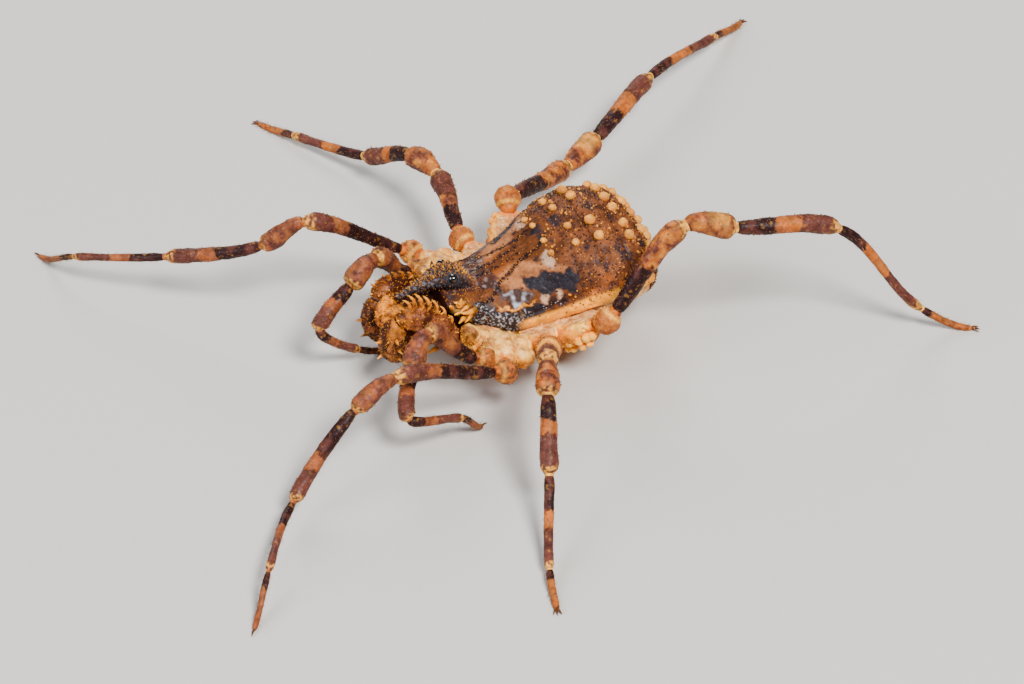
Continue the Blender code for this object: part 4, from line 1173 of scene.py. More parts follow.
def shield_grains(sheet, beads, spots, look, draw):
    """Small grains over the shield, thick on its rear and in rows, and fine ones on the beads."""
    x, y = spots[..., 0], np.abs(spots[..., 1])
    inside = np.maximum.reduce([within(mark, x, y) for mark in (DARK_PATCH, WET_SHEEN_PATCH, TAN_FIELD)])
    bare = 1 - soft_step(inside, -0.02, 0.05) * 0.96
    rear = 0.35 + 1.2 * soft_step(x, 0.4, 1.0)
    upper = soft_step(sheet.height, 0.02, 0.2)
    lines = sum(ring_mask(x, line, 0.07) for line in GRAIN_LINES) * upper * bare
    rows = ring_mask(y, row_path(x), 0.03) * (1 - soft_step(x, 0.45, 0.6)) * upper
    rows += ring_mask(y, 0.07, 0.03) * (1 - soft_step(x, 0.1, 0.3)) * upper * 0.5
    coat = Build()
    for count, where, blend, radii, heights in (
        (700, bare * rear * upper, (look.grain_gold, 0.75, 0.5), mm(0.004, 0.011), mm(0.008, 0.022)),
        (1300, bare * rear * upper, (look.dark, 0.85, 0.3), mm(0.007, 0.018), mm(0.008, 0.022)),
        (240, lines * soft_step(x, 0.3, 0.6), (look.bead, 0.7, 0.35), mm(0.012, 0.026), mm(0.018, 0.040)),
        (420, rows, (look.dark, 0.85, 0.3), mm(0.010, 0.018), mm(0.014, 0.030)),
        (160, rows, (look.grain_gold, 0.8, 0.4), mm(0.005, 0.010), mm(0.010, 0.022)),
    ):
        sow(coat, sheet, draw, count, where, blend, radii, heights)
    front = (1 - soft_step(x, -0.8, -0.5)) * upper
    band = soft_step(within(LOW_BAND, x, y), -0.02, 0.02)
    patch = soft_step(within(DARK_PATCH, x, y), 0, 0.03)
    # The grains on the low dark band are real; their pale bluish grey is a painted glint
    gold, grey, black = (look.grain_gold, 0.8, 0.3), (BAND_GLINT_GRAIN, 0.45, 0.6), (PATCH_GRAIN, 0.6, 0.4)
    sow(coat, sheet, draw, 240, front, gold, mm(0.004, 0.010), mm(0.010, 0.026), lean=-0.3)
    sow(coat, sheet, draw, 300, band, grey, mm(0.004, 0.018), mm(0.006, 0.020), wet=1.0)
    sow(coat, sheet, draw, 260, patch, black, mm(0.006, 0.011), mm(0.004, 0.010))
    coat.finish("shield_grains", bead_finish(), "shell")
    crust = Build()
    for bead in beads:
        sow(crust, bead, draw, 30, None, (look.cream, 0.25, 0.3), mm(0.006, 0.012), mm(0.004, 0.009))
    crust.finish("bead_grains", bead_finish(), "shell")


# How far the tail's skin starts ahead of its first station, under the shield, to close the slit between them
TAIL_TUCK = mm(0.05)


def make_tail(look):
    """The plates behind the shield, each with its row of beads."""
    sheet = dome_sheet(TAIL_STATIONS, TAIL_NET, lead=TAIL_TUCK)
    spots = sheet.points * 1000
    x = spots[..., 0]
    wave = ripple(sheet.points, 7)
    low = 1 - soft_step(spots[..., 2], 0.8, 1.25)
    sheet.paint(look.shell_rear)
    sheet.mottle(4, 0.3)
    sheet.lay(look.pink, low * 0.85, 0.3)
    for line in (2.19, 2.34, 2.48):
        sheet.lay(look.shell_deep, ring_mask(x, line, 0.028) * 0.85)
    sheet.lay(look.dark, soft_step(wave, 0.1, 0.4) * soft_step(sheet.height, 0.2, 0.5) * 0.75)
    sheet.roughen((4, mm(0.014)), (11, mm(0.006)), (28, mm(0.003)))
    draw = np.random.default_rng(TAIL_DRAW)
    beads = bead_sheets(TAIL_STATIONS, TAIL_BEADS, look, draw, 1.25)
    join_skins([sheet, *beads], "tail_skin", shell_finish(), "shell", ("tail_plates",))
    coat = Build()
    upper = 0.25 + soft_step(sheet.height, 0.0, 0.2)
    for colour, count in ((look.grain_gold, 300), (look.dark, 520), (look.bead, 160)):
        sow(coat, sheet, draw, count, upper, (colour, 0.8, 0.3), mm(0.007, 0.018), mm(0.010, 0.028))
    coat.finish("tail_grains", bead_finish(), "shell")


def under_rim(points):
    """Presses flesh that stands above the shield's rim down to it, and lets it rise again farther out."""
    table = np.array(SHIELD_STATIONS)
    along_x, out_y = points[..., 0], np.abs(points[..., 1])
    width = np.interp(along_x, table[:, 0], table[:, 1])
    rim = np.interp(along_x, table[:, 0], table[:, 3])
    limit = rim - RIM_DEPTH - mm(0.03) + np.clip(out_y - width, 0, None) * 0.55
    over = np.clip(points[..., 2] - limit, 0, None)
    moved = points.copy()
    moved[..., 2] -= over * 0.9
    return moved


def flesh_way(side):
    """The way out of the flesh of one side: mostly down, and out and a little forward."""
    return -0.29, 0.57 * side, -0.77


def paint_flesh(sheet, look, down, number):
    """Cream flesh with fine folds, greyish above and granular orange below, painted shade in its creases,
    painted glints, and its relief.
    """
    wave = ripple(sheet.points, 5, 4.0)
    fine = ripple(sheet.points, 17, 6.0)
    spots = sheet.points * 1000
    sheet.paint(look.cream, 0.3)
    grey = 0.85 if number in (3, 4) else 0.35
    sheet.lay(look.pleura, soft_step(-down + wave * 0.4, -0.3, 0.5) * grey, 0.9)
    sheet.lay(look.margin, 0.2)
    sheet.lay(look.margin, soft_step(down + wave * 0.5, 0.0, 0.5) * 0.9, 0.3)
    sheet.lay(look.orange, soft_step(down + wave * 0.5, 0.3, 0.8) * 0.6)
    folds = np.abs(np.sin(spots[..., 0] * 13 + spots[..., 2] * 5 + wave * 2.5 + fine * 0.8))
    # Painted shade: darker orange in the creases of the upper side, which are also sunk into the skin
    crease = (1 - soft_step(folds, 0.0, 0.30)) * soft_step(-down, -0.7, -0.1)
    sheet.lay(look.leg_orange, crease * 0.6)
    sheet.cloud(look.leg_orange, (9, 23.0), (0.05, 0.5), 0.6)
    brown = 0.6 if number < 3 else 0.3
    sheet.lay(look.palp_brown, soft_step(ripple(sheet.points, 8, 50.0), 0.10, 0.4) * brown)
    # Painted highlights: pale glossy glints in blotches over the flesh
    sheet.cloud(FLESH_GLINT, (13, 70.0), (0.25, 0.5), 0.3, 1.0)
    sheet.swell(-crease * mm(0.016))
    sheet.roughen((5, mm(0.022)), (12, mm(0.016)), (30, mm(0.007)))


def make_belly(look):
    """The underside, its eight hips with their lobes and warts, and the folds between them."""
    sheet = dome_sheet(BELLY_STATIONS, BELLY_NET)
    spots = sheet.points * 1000
    sheet.paint(look.cream)
    sheet.lay(look.pleura, soft_step(spots[..., 2], 0.80, 0.98) * 0.7, 0.7)
    sheet.cloud(look.leg_orange, (6, 9.0), (-0.2, 0.4), 0.5)
    sheet.cloud(look.palp_brown, (15, 4.0), (0.1, 0.5), 0.5)
    folds = np.abs(np.sin(spots[..., 0] * 7.5 + ripple(sheet.points, 3) * 1.5))
    sheet.lay(look.shell_deep, (1 - soft_step(folds, 0.0, 0.16)) * 0.35)
    sheet.lay(look.orange, (1 - soft_step(spots[..., 2], 0.5, 0.8)) * 0.4)
    sheet.lay(look.palp_dark, 1 - soft_step(spots[..., 0], -0.95, -0.75))
    sheet.swell(-(1 - soft_step(folds, 0.0, 0.22)) * mm(0.02))
    sheet.roughen((5, mm(0.012)), (14, mm(0.005)))
    sheets = [sheet]
    hips = []
    for number in LEG_ROOTS:
        for side in (-1, 1):
            stations = hip_stations(number, side)
            hip = limb_sheet(stations, 0, 3, *HIP_NET, Vector((0, 0, 1)))
            share = shares_along(0, 1, HIP_NET)
            down = hip.normals() @ np.array(flesh_way(side))
            if number == 4:
                hip.swell(mm(0.13) * ring_mask(share, 0.38, 0.30) * soft_step(down, 0.2, 0.9))
            hip.points = under_rim(hip.points)
            paint_flesh(hip, look, down, number)
            # Painted shade: the hips of the right side are darker, towards tan
            hip.lay(look.leg_tan, 0.35 * (side > 0))
            hip.lay(look.orange, soft_step(share, 0.86, 0.98) * 0.6)
            hips.append(hip)
    draw = np.random.default_rng(BELLY_DRAW)
    for place, radius, shade in FLESH_LOBES:
        for side in (-1, 1):
            centre = mirrored(place, side)
            way = Vector((-0.5, 0.6 * side, 0.4)).normalized()
            lobe = ball_sheet(centre, radius, way, *LOBE_NET)
            rise = (lobe.points - np.array(centre)) @ np.array(way) / radius
            down = lobe.normals() @ np.array(flesh_way(side))
            lobe.roughen((3.5, radius * 0.22))
            lobe.points = under_rim(lobe.points)
            paint_flesh(lobe, look, down, 2)
            brown = soft_step(rise + ripple(lobe.points, 9) * 0.5, 0.1, 0.45)
            lobe.lay(look.palp_brown, brown * shade, 0.6)
            lobe.lay(look.palp_dark, brown * soft_step(ripple(lobe.points, 12, 8.0), 0.0, 0.4) * shade * 0.8)
            sheets.append(lobe)
    warts = []
    for side in (-1, 1):
        stations = hip_stations(4, side)
        for share, turn, reach, radius in WARTS:
            centre = limb_point(stations, 3 * share)[0]
            angle = math.radians(turn)
            down, near = Vector(flesh_way(side)), Vector((-0.35, 0.68 * side, 0.64))
            out = (down * math.cos(angle) + near * math.sin(angle)).normalized()
            wart = ball_sheet(centre + out * reach, radius, out, *WART_NET)
            rise = (wart.points - np.array(centre + out * reach)) @ np.array(out) / radius
            wart.paint(np.array(look.margin) * draw.uniform(0.95, 1.15), 0.3)
            wart.lay(look.cream, soft_step(rise, 0.0, 0.8) * 0.55)
            wart.roughen((8, radius * 0.18), (20, radius * 0.10), (42, radius * 0.05))
            warts.append(wart)
    skins = [*sheets, *hips, *warts]
    join_skins(skins, "belly_skin_and_hips", belly_finish(), "belly", ("belly",))
    coat = Build()
    for flesh, count in [(hip, 740) for hip in hips] + [(lobe, 250) for lobe in sheets[1:]]:
        low = 0.06 + soft_step(-flesh.normals()[..., 2], -0.5, 0.4)
        pale, deep = (look.margin, 0.55, 0.25), (look.shell_deep, 0.6, 0.25)
        sow(coat, flesh, draw, count, low, pale, mm(0.006, 0.018), mm(0.006, 0.016), plain=True)
        sow(coat, flesh, draw, count // 5, low, deep, mm(0.007, 0.013), mm(0.006, 0.012), plain=True)
    coat.finish("belly_grains", belly_finish(), "belly")


def eye_gaps(sheet, side):
    """How many of its radii each point of a skin lies from one eye's centre."""
    return np.linalg.norm(sheet.points - np.array(mirrored(EYE_PLACE, side)), axis=2) / EYE_RADIUS


def make_hood(look):
    """The eye mound with the horn that runs forward from it, under a crust of gold and dark grains."""
    sheet = dome_sheet(HOOD_STATIONS, HOOD_NET)
    x = sheet.points[..., 0] * 1000
    for side in (-1, 1):
        sheet.swell(ring_mask(eye_gaps(sheet, side), 1.42, 0.16) * mm(0.008))
        centre = np.array(mirrored(EYE_PLACE, side))
        gap = eye_gaps(sheet, side)[..., None]
        away = (sheet.points - centre) / gap
        sheet.points = np.where(gap < 1.22, centre + away * 0.84, sheet.points)
    sheet.points[..., 2] -= soft_step(x, -0.92, -0.66) * mm(0.08)
    wave = ripple(sheet.points, 9)
    sheet.paint(look.hood)
    sheet.lay(look.shell_front, soft_step(x + wave * 0.1, -0.88, -0.70) * 0.9)
    sheet.lay(look.shell_deep, soft_step(wave, 0.1, 0.5) * 0.5)
    sheet.lay(look.grain_gold, soft_step(ripple(sheet.points, 30), 0.2, 0.5) * sheet.height * 0.45)
    sheet.lay(HOOD_BLUE, soft_step(x, -1.05, -0.85) * soft_step(wave, -0.2, 0.3) * 0.5, 0.6)
    for side in (-1, 1):
        sheet.lay(EYE_RING, (1 - soft_step(eye_gaps(sheet, side), 1.5, 2.2)) * 0.8, 0.7)
    veins = soft_step(ripple(sheet.points, 22, 14.0), 0.1, 0.4) * (1 - soft_step(x, -1.35, -1.15))
    sheet.lay(HORN_VEIN, veins * 0.6, 0.5)
    sheet.roughen((6, mm(0.014)), (16, mm(0.010)), (34, mm(0.005)))
    join_skins([sheet], "hood_skin", shell_finish(), "hood", ("hood",))
    draw = np.random.default_rng(HOOD_DRAW)
    coat = Build()
    clear = soft_step(np.minimum(eye_gaps(sheet, -1), eye_gaps(sheet, 1)), 1.1, 1.4)
    top = clear * (0.04 + soft_step(sheet.height, 0.62, 0.95))
    for colour, count, where, radii, heights in (
        (look.grain_gold, 260, top, mm(0.0035, 0.0085), mm(0.014, 0.042)),
        (look.cream, 50, top, mm(0.003, 0.006), mm(0.012, 0.034)),
        (look.palp_brown, 240, clear, mm(0.006, 0.013), mm(0.010, 0.024)),
        (HOOD_GRAIN, 520, clear, mm(0.006, 0.014), mm(0.006, 0.014)),
    ):
        sow(coat, sheet, draw, count, where, (colour, 0.85, 0.5), radii, heights, lean=0.3)
    coat.finish("hood_grains", bead_finish(), "hood")


def make_eyes():
    """The two eyes, which look out and a little forward and up."""
    for side, label in ((-1, "left"), (1, "right")):
        centre = mirrored(EYE_PLACE, side)
        way = Vector((-0.25, side, 0.35)).normalized()
        eye = ball_sheet(centre, EYE_RADIUS * EYE_BULGE, way, *EYE_NET)
        join_skins([eye], f"eye_ball_{label}", eye_finish(), "eye", (f"eye_{label}",))


# Palps and jaws
PALP_ARM_NET = (150, 76)
PALP_HAND_NET = (130, 70)
PALP_CLAW_NET = (30, 16)
COMB_NET = (22, 18)
JAW_NET = (130, 56)
JAW_FINGER_NET = (36, 20)
STRAIGHT = (0, 0, 0)
# Blades of the palp's comb: station, height over the arm, and radius
COMB_BLADES = (
    (1.66, mm(0.26), mm(0.046)),
    (2.14, mm(0.33), mm(0.050)),
    (2.62, mm(0.37), mm(0.052)),
    (3.08, mm(0.38), mm(0.054)),
    (3.48, mm(0.37), mm(0.054)),
    (3.86, mm(0.32), mm(0.050)),
    (4.18, mm(0.22), mm(0.044)),
)


def comb_spine(stations, place, reach, radius, curl, look, flat=1.0, dull=False):
    """A spine of the palp: brown in its lower half, cream at its edges and its tip, or dull brown."""
    centre, thick = limb_point(stations, place)
    way = reach.normalized()
    begin = centre + way * thick * 0.55
    spine = spine_sheet(begin, centre + reach, radius, curl, *COMB_NET, flat, 0.05, 1.15)
    share = shares_along(0, 1, COMB_NET)
    wave = ripple(spine.points, 18)
    brown = (1 - soft_step(share, 0.40, 0.70)) * soft_step(wave, -0.35, 0.1)
    brown = np.maximum(brown, 0.8 * dull)
    spine.paint(look.palp_cream, 0.3)
    spine.lay(look.cream, soft_step(share, 0.6, 1.0) * 0.5)
    spine.lay(look.palp_brown, brown * 0.9)
    spine.lay(look.palp_dark, brown * soft_step(ripple(spine.points, 14, 9.0), 0.0, 0.3) * 0.6)
    spine.roughen((14, radius * 0.14), (32, radius * 0.08))
    return spine


def paint_palp(sheet, look, cream):
    """Pinkish brown skin, cream where the mask asks for it, with dark and pale spots."""
    wave = ripple(sheet.points, 5)
    fine = ripple(sheet.points, 16, 8.0)
    sheet.paint(look.palp_brown, 0.2)
    sheet.lay(look.pink, soft_step(wave, 0.0, 0.4) * 0.6, 0.5)
    sheet.lay(look.palp_dark, soft_step(-wave + fine * 0.6, 0.05, 0.35) * 0.8)
    sheet.cloud(look.palp_dark, (24, 3.0), (0.15, 0.4), 0.6)
    sheet.lay(look.palp_cream, np.clip(cream, 0, 1) * soft_step(fine + wave * 0.5, -0.55, -0.05), 0.3)
    sheet.mottle(9, 0.18)
    sheet.roughen((4, mm(0.016)), (12, mm(0.010)), (30, mm(0.004)))


def make_palp(side, look):
    """One palp: the arched arm with its comb and spears, and the folded hand with its spikes and claw."""
    label = "left" if side < 0 else "right"
    stations = palp_stations(PALP, side)
    guide = Vector((0, 1, 0))
    arm = limb_sheet(stations, 0, PALP_KNEE - 0.06, *PALP_ARM_NET, guide)
    hand = limb_sheet(stations, PALP_KNEE + 0.06, len(stations) - 1, *PALP_HAND_NET, guide)
    share = shares_along(0, PALP_KNEE, PALP_ARM_NET)
    up = arm.normals()[..., 2]
    inner = arm.normals()[..., 1] * -side
    # Painted highlight: cream where the arch bends down to the hand, strong on the left palp and faint on the
    # right
    knee_highlight = soft_step(share, 3.9, 4.5) * (0.38 if side < 0 else 0.1)
    paint_palp(arm, look, knee_highlight + (1 - soft_step(share, 0.5, 1.2)) * 0.3)
    # Painted glow: bright orange on the arm's underside
    arm.lay(look.orange, soft_step(-up, 0.0, 0.7) * 0.8)
    arm.cloud(look.palp_dark, (6, 15.0), (0.05, 0.35), 0.5)
    arm.lay(look.palp_dark, (1 - soft_step(share + ripple(arm.points, 9) * 0.3, 0.6, 1.0)) * 0.85)
    # Painted shadow: dark on the arm's upper inner side between the blades of the comb
    arm.lay(look.palp_dark, soft_step(up + inner * 0.8, 0.75, 1.15) * (1 - soft_step(share, 3.9, 4.3)) * 0.9)
    arm.swell(-ring_mask(share, 4.92, 0.10) * mm(0.03) - ring_mask(share, 2.9, 0.05) * mm(0.010))
    down = shares_along(0, 4, PALP_HAND_NET)
    outer = hand.normals()[..., 1] * side
    paint_palp(hand, look, (1 - soft_step(down, 0.1, 0.5)) * 0.3 + soft_step(down, 3.4, 3.9) * 0.5)
    cloud = soft_step(ripple(hand.points, 4, 3.0), -0.1, 0.4)
    hand.lay(look.margin, soft_step(outer, 0.0, 0.7) * cloud * 0.18)
    hand.cloud(look.palp_dark, (6, 15.0), (-0.05, 0.25), 0.75)
    hand.swell(-ring_mask(down, 0, 0.10) * mm(0.03))
    spines = []
    for place, length, radius in COMB_BLADES:
        way = limb_way(stations, place)
        rise = (Vector((0, 0, 1)) - way * way.z).normalized()
        tall = length if side < 0 else length * 0.30
        reach = rise * limb_point(stations, place)[1] + Vector((-0.46, -side * 0.14, 0.93)) * tall
        spines.append(comb_spine(stations, place, reach, radius, mm(0.075, 0, 0.01), look, 0.95, side > 0))
    for rows, radius in ((PALP_SPEARS, SPEAR_RADIUS), (HAND_SPIKES, HAND_SPIKE_RADIUS)):
        for place, reach in rows:
            out = mirrored(reach, side)
            spines.append(comb_spine(stations, place, out, radius, STRAIGHT, look, dull=side > 0))
    draw = np.random.default_rng(PALP_DRAW)
    for place in draw.uniform(1.4, 4.6, 22):
        out = Vector(draw.uniform(-1, 1, 3))
        out.z = abs(out.z) * 0.8
        out = out.normalized()
        reach = out * (limb_point(stations, place)[1] + mm(draw.uniform(0.03, 0.09)))
        spines.append(comb_spine(stations, place, reach, mm(0.028), STRAIGHT, look))
    for place in draw.uniform(5.4, 8.2, 12):
        out = Vector((-abs(draw.uniform(0, 1)), draw.uniform(-1, 1), draw.uniform(-0.3, 0.3))).normalized()
        reach = out * (limb_point(stations, place)[1] + mm(draw.uniform(0.02, 0.06)))
        spines.append(comb_spine(stations, place, reach, mm(0.026), STRAIGHT, look))
    nodes = (f"palp_arm_{label}", f"palp_hand_{label}")
    join_skins([arm, hand, *spines], f"palp_skin_{label}", palp_finish(), "palp", nodes)
    claw = limb_sheet(palp_stations(PALP_CLAW, side), 0, 3, *PALP_CLAW_NET, guide)
    claw.paint(look.claw, 0.8)
    claw.lay(look.palp_cream, shares_along(1, 0, PALP_CLAW_NET) * 0.6)
    join_skins([claw], f"palp_claw_{label}", claw_finish(), "palp")
    coat = Build()
    for sheet, counts in ((arm, (120, 420, 900)), (hand, (90, 340, 900))):
        for colour, count in zip((look.palp_cream, look.grain_gold, look.palp_dark), counts):
            blend = (colour, 0.7, 0.4)
            sow(coat, sheet, draw, count, None, blend, mm(0.004, 0.010), mm(0.008, 0.024), plain=True)
        cells = pick(sheet, 40, draw)
        add_hairs(coat, sheet, cells, draw, mm(0.04, 0.09), mm(0.003), 1.0, colours(look.hair, 40, draw))
    for spine in spines[:14]:
        sow(coat, spine, draw, 14, None, (look.palp_cream, 0.5, 0.2), mm(0.005, 0.010), mm(0.005, 0.013))
    coat.finish(f"palp_grains_{label}", palp_finish(), "palp")


def make_jaw(side, look):
    """One jaw: its arm under the horn, and the hand that hangs from it with its finger."""
    label = "left" if side < 0 else "right"
    guide = Vector((0, 1, 0))
    stations = [(mirrored(place, side), radius) for place, radius in JAW]
    jaw = limb_sheet(stations, 0, len(JAW) - 1, *JAW_NET, guide)
    share = shares_along(0, 6, JAW_NET)
    wave = ripple(jaw.points, 8)
    jaw.paint(look.palp_cream, 0.3)
    jaw.lay(look.margin, soft_step(wave, -0.1, 0.4) * 0.7)
    jaw.lay(look.orange, soft_step(-jaw.normals()[..., 2], -0.5, 0.5) * 0.8)
    jaw.lay(look.palp_brown, soft_step(-wave + ripple(jaw.points, 20) * 0.6, 0.0, 0.4) * 0.75)
    # Painted shade: dark over the jaw's rear, behind the palp's comb
    jaw.lay(look.palp_dark, 1 - soft_step(share + wave * 0.4, 2.2, 2.9))
    jaw.lay(look.claw, soft_step(share, 5.2, 5.9) * 0.8, 0.8)
    jaw.roughen((5, mm(0.012)), (14, mm(0.007)), (30, mm(0.003)))
    finger_stations = [(mirrored(place, side), radius) for place, radius in JAW_FINGER]
    finger = limb_sheet(finger_stations, 0, 2, *JAW_FINGER_NET, guide)
    finger.paint(look.claw, 0.8)
    join_skins([jaw, finger], f"jaw_skin_{label}", palp_finish(), "palp", (f"jaw_{label}",))
    draw = np.random.default_rng(JAW_DRAW)
    coat = Build()
    for colour, count in ((look.palp_cream, 60), (look.grain_gold, 120), (look.palp_dark, 240)):
        where = soft_step(share, 0.5, 1.0) * (1 - soft_step(share, 5.2, 5.6))
        sow(coat, jaw, draw, count, where, (colour, 0.7, 0.25), mm(0.007, 0.015), mm(0.010, 0.026))
    coat.finish(f"jaw_grains_{label}", palp_finish(), "palp")


# Legs: each part's light band, as shares of its length where it begins and ends
LIGHT_BANDS = {
    "femur": {1: (0.40, 0.95), 2: (0.55, 0.70), 3: (0.36, 0.52), 4: (0.46, 0.90)},
    "patella": {1: (0.0, 0.9), 2: (0.0, 0.9), 3: (0.0, 0.9), 4: (0.0, 0.9)},
    "tibia": {1: (0.32, 0.50), 2: (0.46, 0.62), 3: (0.34, 0.52), 4: (0.36, 0.60)},
    "metatarsus": {1: (0.34, 0.56), 2: (0.36, 0.56), 3: (0.38, 0.58), 4: (0.28, 0.58)},
    "tarsus": {1: (0.30, 1.0), 2: (0.30, 1.0), 3: (0.25, 1.0), 4: (0.20, 1.0)},
}
LEG_RINGS = {"femur": 110, "patella": 76, "tibia": 104, "metatarsus": 110, "tarsus": 76}
LEG_SIDES = 40
BALL_NET = (60, 60)
NECK_NET = (18, 30)
KNUCKLE_NET = (26, 32)
SOCKET_NET = (16, 24)
CLAW_NET = (22, 12)
# Small grains, hairs and large grains on a leg's ball and long joints, by their place in its list of skins
LEG_AMOUNTS = {
    0: (520, 0, 60), 2: (420, 20, 70), 3: (220, 16, 40), 4: (300, 50, 40), 5: (190, 110, 0), 6: (60, 140, 0),
}


def leg_sheet(leg, step):
    """The skin of one long joint of a leg, with a narrow neck at both ends."""
    joints = leg_joints(leg)
    ways = joint_ways(leg, joints)
    width = LEG_WIDTHS[int(leg[-1])]
    part = LEG_PARTS[step]
    start, end = joints[step], joints[step + 1]
    count = LEG_RINGS[part]
    shares = list(np.linspace(0, 1, count))
    centres, radii = [], []
    for share in shares:
        wide = mm(along(OUTLINES[part], share)[0]) * width
        centres.append(bent(start, end, ways[step], ways[step + 1], share, wide))
        neck = 1 - 0.22 * math.exp(-(((1 - share) / 0.03) ** 2)) - 0.18 * math.exp(-((share / 0.025) ** 2))
        radii.append(wide * neck)
    rings = []
    for index, (centre, radius) in enumerate(zip(centres, radii)):
        before, after = centres[max(index - 1, 0)], centres[min(index + 1, count - 1)]
        rings.append(section(centre, (after - before).normalized(), Vector((0, 0, 1)), radius, LEG_SIDES))
    sheet = Sheet(rings)
    sheet.share = shares_along(0, 1, (count, LEG_SIDES))
    return sheet


def paint_leg(sheet, part, number, look):
    """Dark and light bands with ragged edges, cream at both ends, mottled with spots, and a painted highlight
    on top of the last legs' patellae.
    """
    wave = ripple(sheet.points, 7)
    fine = ripple(sheet.points, 21, 5.0)
    share = sheet.share + wave * 0.06 + fine * 0.035
    low, high = LIGHT_BANDS[part][number]
    band = soft_step(share, low - 0.02, low + 0.02) * (1 - soft_step(share, high - 0.02, high + 0.02))
    sheet.paint(look.leg_dark)
    sheet.cloud(look.leg_purple, (5, 21.0), (0.0, 0.5), 0.6)
    sheet.lay(look.leg_purple, soft_step(share, high, high + 0.04) * 0.8)
    sheet.lay(look.leg_tan, band)
    sheet.lay(look.leg_orange, band * soft_step(ripple(sheet.points, 6, 33.0), -0.1, 0.4) * 0.8)
    spots = soft_step(wave + fine * 0.5, -0.02, 0.2)
    if part in ("patella", "femur"):
        sheet.lay(look.leg_purple, band * spots * 0.80)
        sheet.lay(look.leg_dark, band * soft_step(wave + fine * 0.7, 0.22, 0.45) * 0.55)
        sheet.lay(look.leg_cream, band * soft_step(-wave + fine * 0.3, 0.15, 0.40) * 0.22)
    else:
        sheet.lay(look.leg_purple, band * soft_step(wave + fine * 0.5, 0.30, 0.45) * 0.5)
    if part == "tarsus":
        sheet.lay(look.leg_dark, soft_step(fine, 0.1, 0.4) * 0.4)
    else:
        tip = soft_step(share, 0.90, 0.94)
        sheet.lay(look.leg_cream, tip * soft_step(fine, -0.3, 0.2) * 0.7, 0.3)
        below = soft_step(-sheet.normals()[..., 2], -0.2, 0.6)
        sheet.lay(look.leg_cream, soft_step(share, 0.80, 0.95) * below * 0.3)
    sheet.lay(look.leg_cream, soft_step(fine * 0.6 + ripple(sheet.points, 13, 61.0), 0.42, 0.6) * 0.15)
    sheet.lay(look.leg_purple, band * (0.6 if number < 3 else 0.12))
    if part == "patella":
        for middle in (0.22, 0.74):
            cloud = ring_mask(share, middle, 0.10) * soft_step(ripple(sheet.points, 5, 12.0), -0.25, 0.3)
            sheet.lay(look.leg_purple, cloud * (0.95 if number < 4 else 0.45))
            sheet.lay(look.leg_dark, cloud * soft_step(fine, -0.3, 0.3) * (0.5 if number < 4 else 0.0))
    if part == "femur" and number == 1:
        sheet.lay(look.leg_dark, soft_step(ripple(sheet.points, 4.5, 8.0), 0.05, 0.35) * band * 0.8)
    if part == "patella" and number == 4:
        # Painted highlight: cream on the upper side of the patella
        above = soft_step(sheet.normals()[..., 2], 0.2, 0.8) * soft_step(share, 0.35, 0.55)
        sheet.lay(look.leg_cream, above * (1 - soft_step(share, 0.8, 0.9)) * 0.35)
    sheet.mottle(10, 0.2, 15.0)


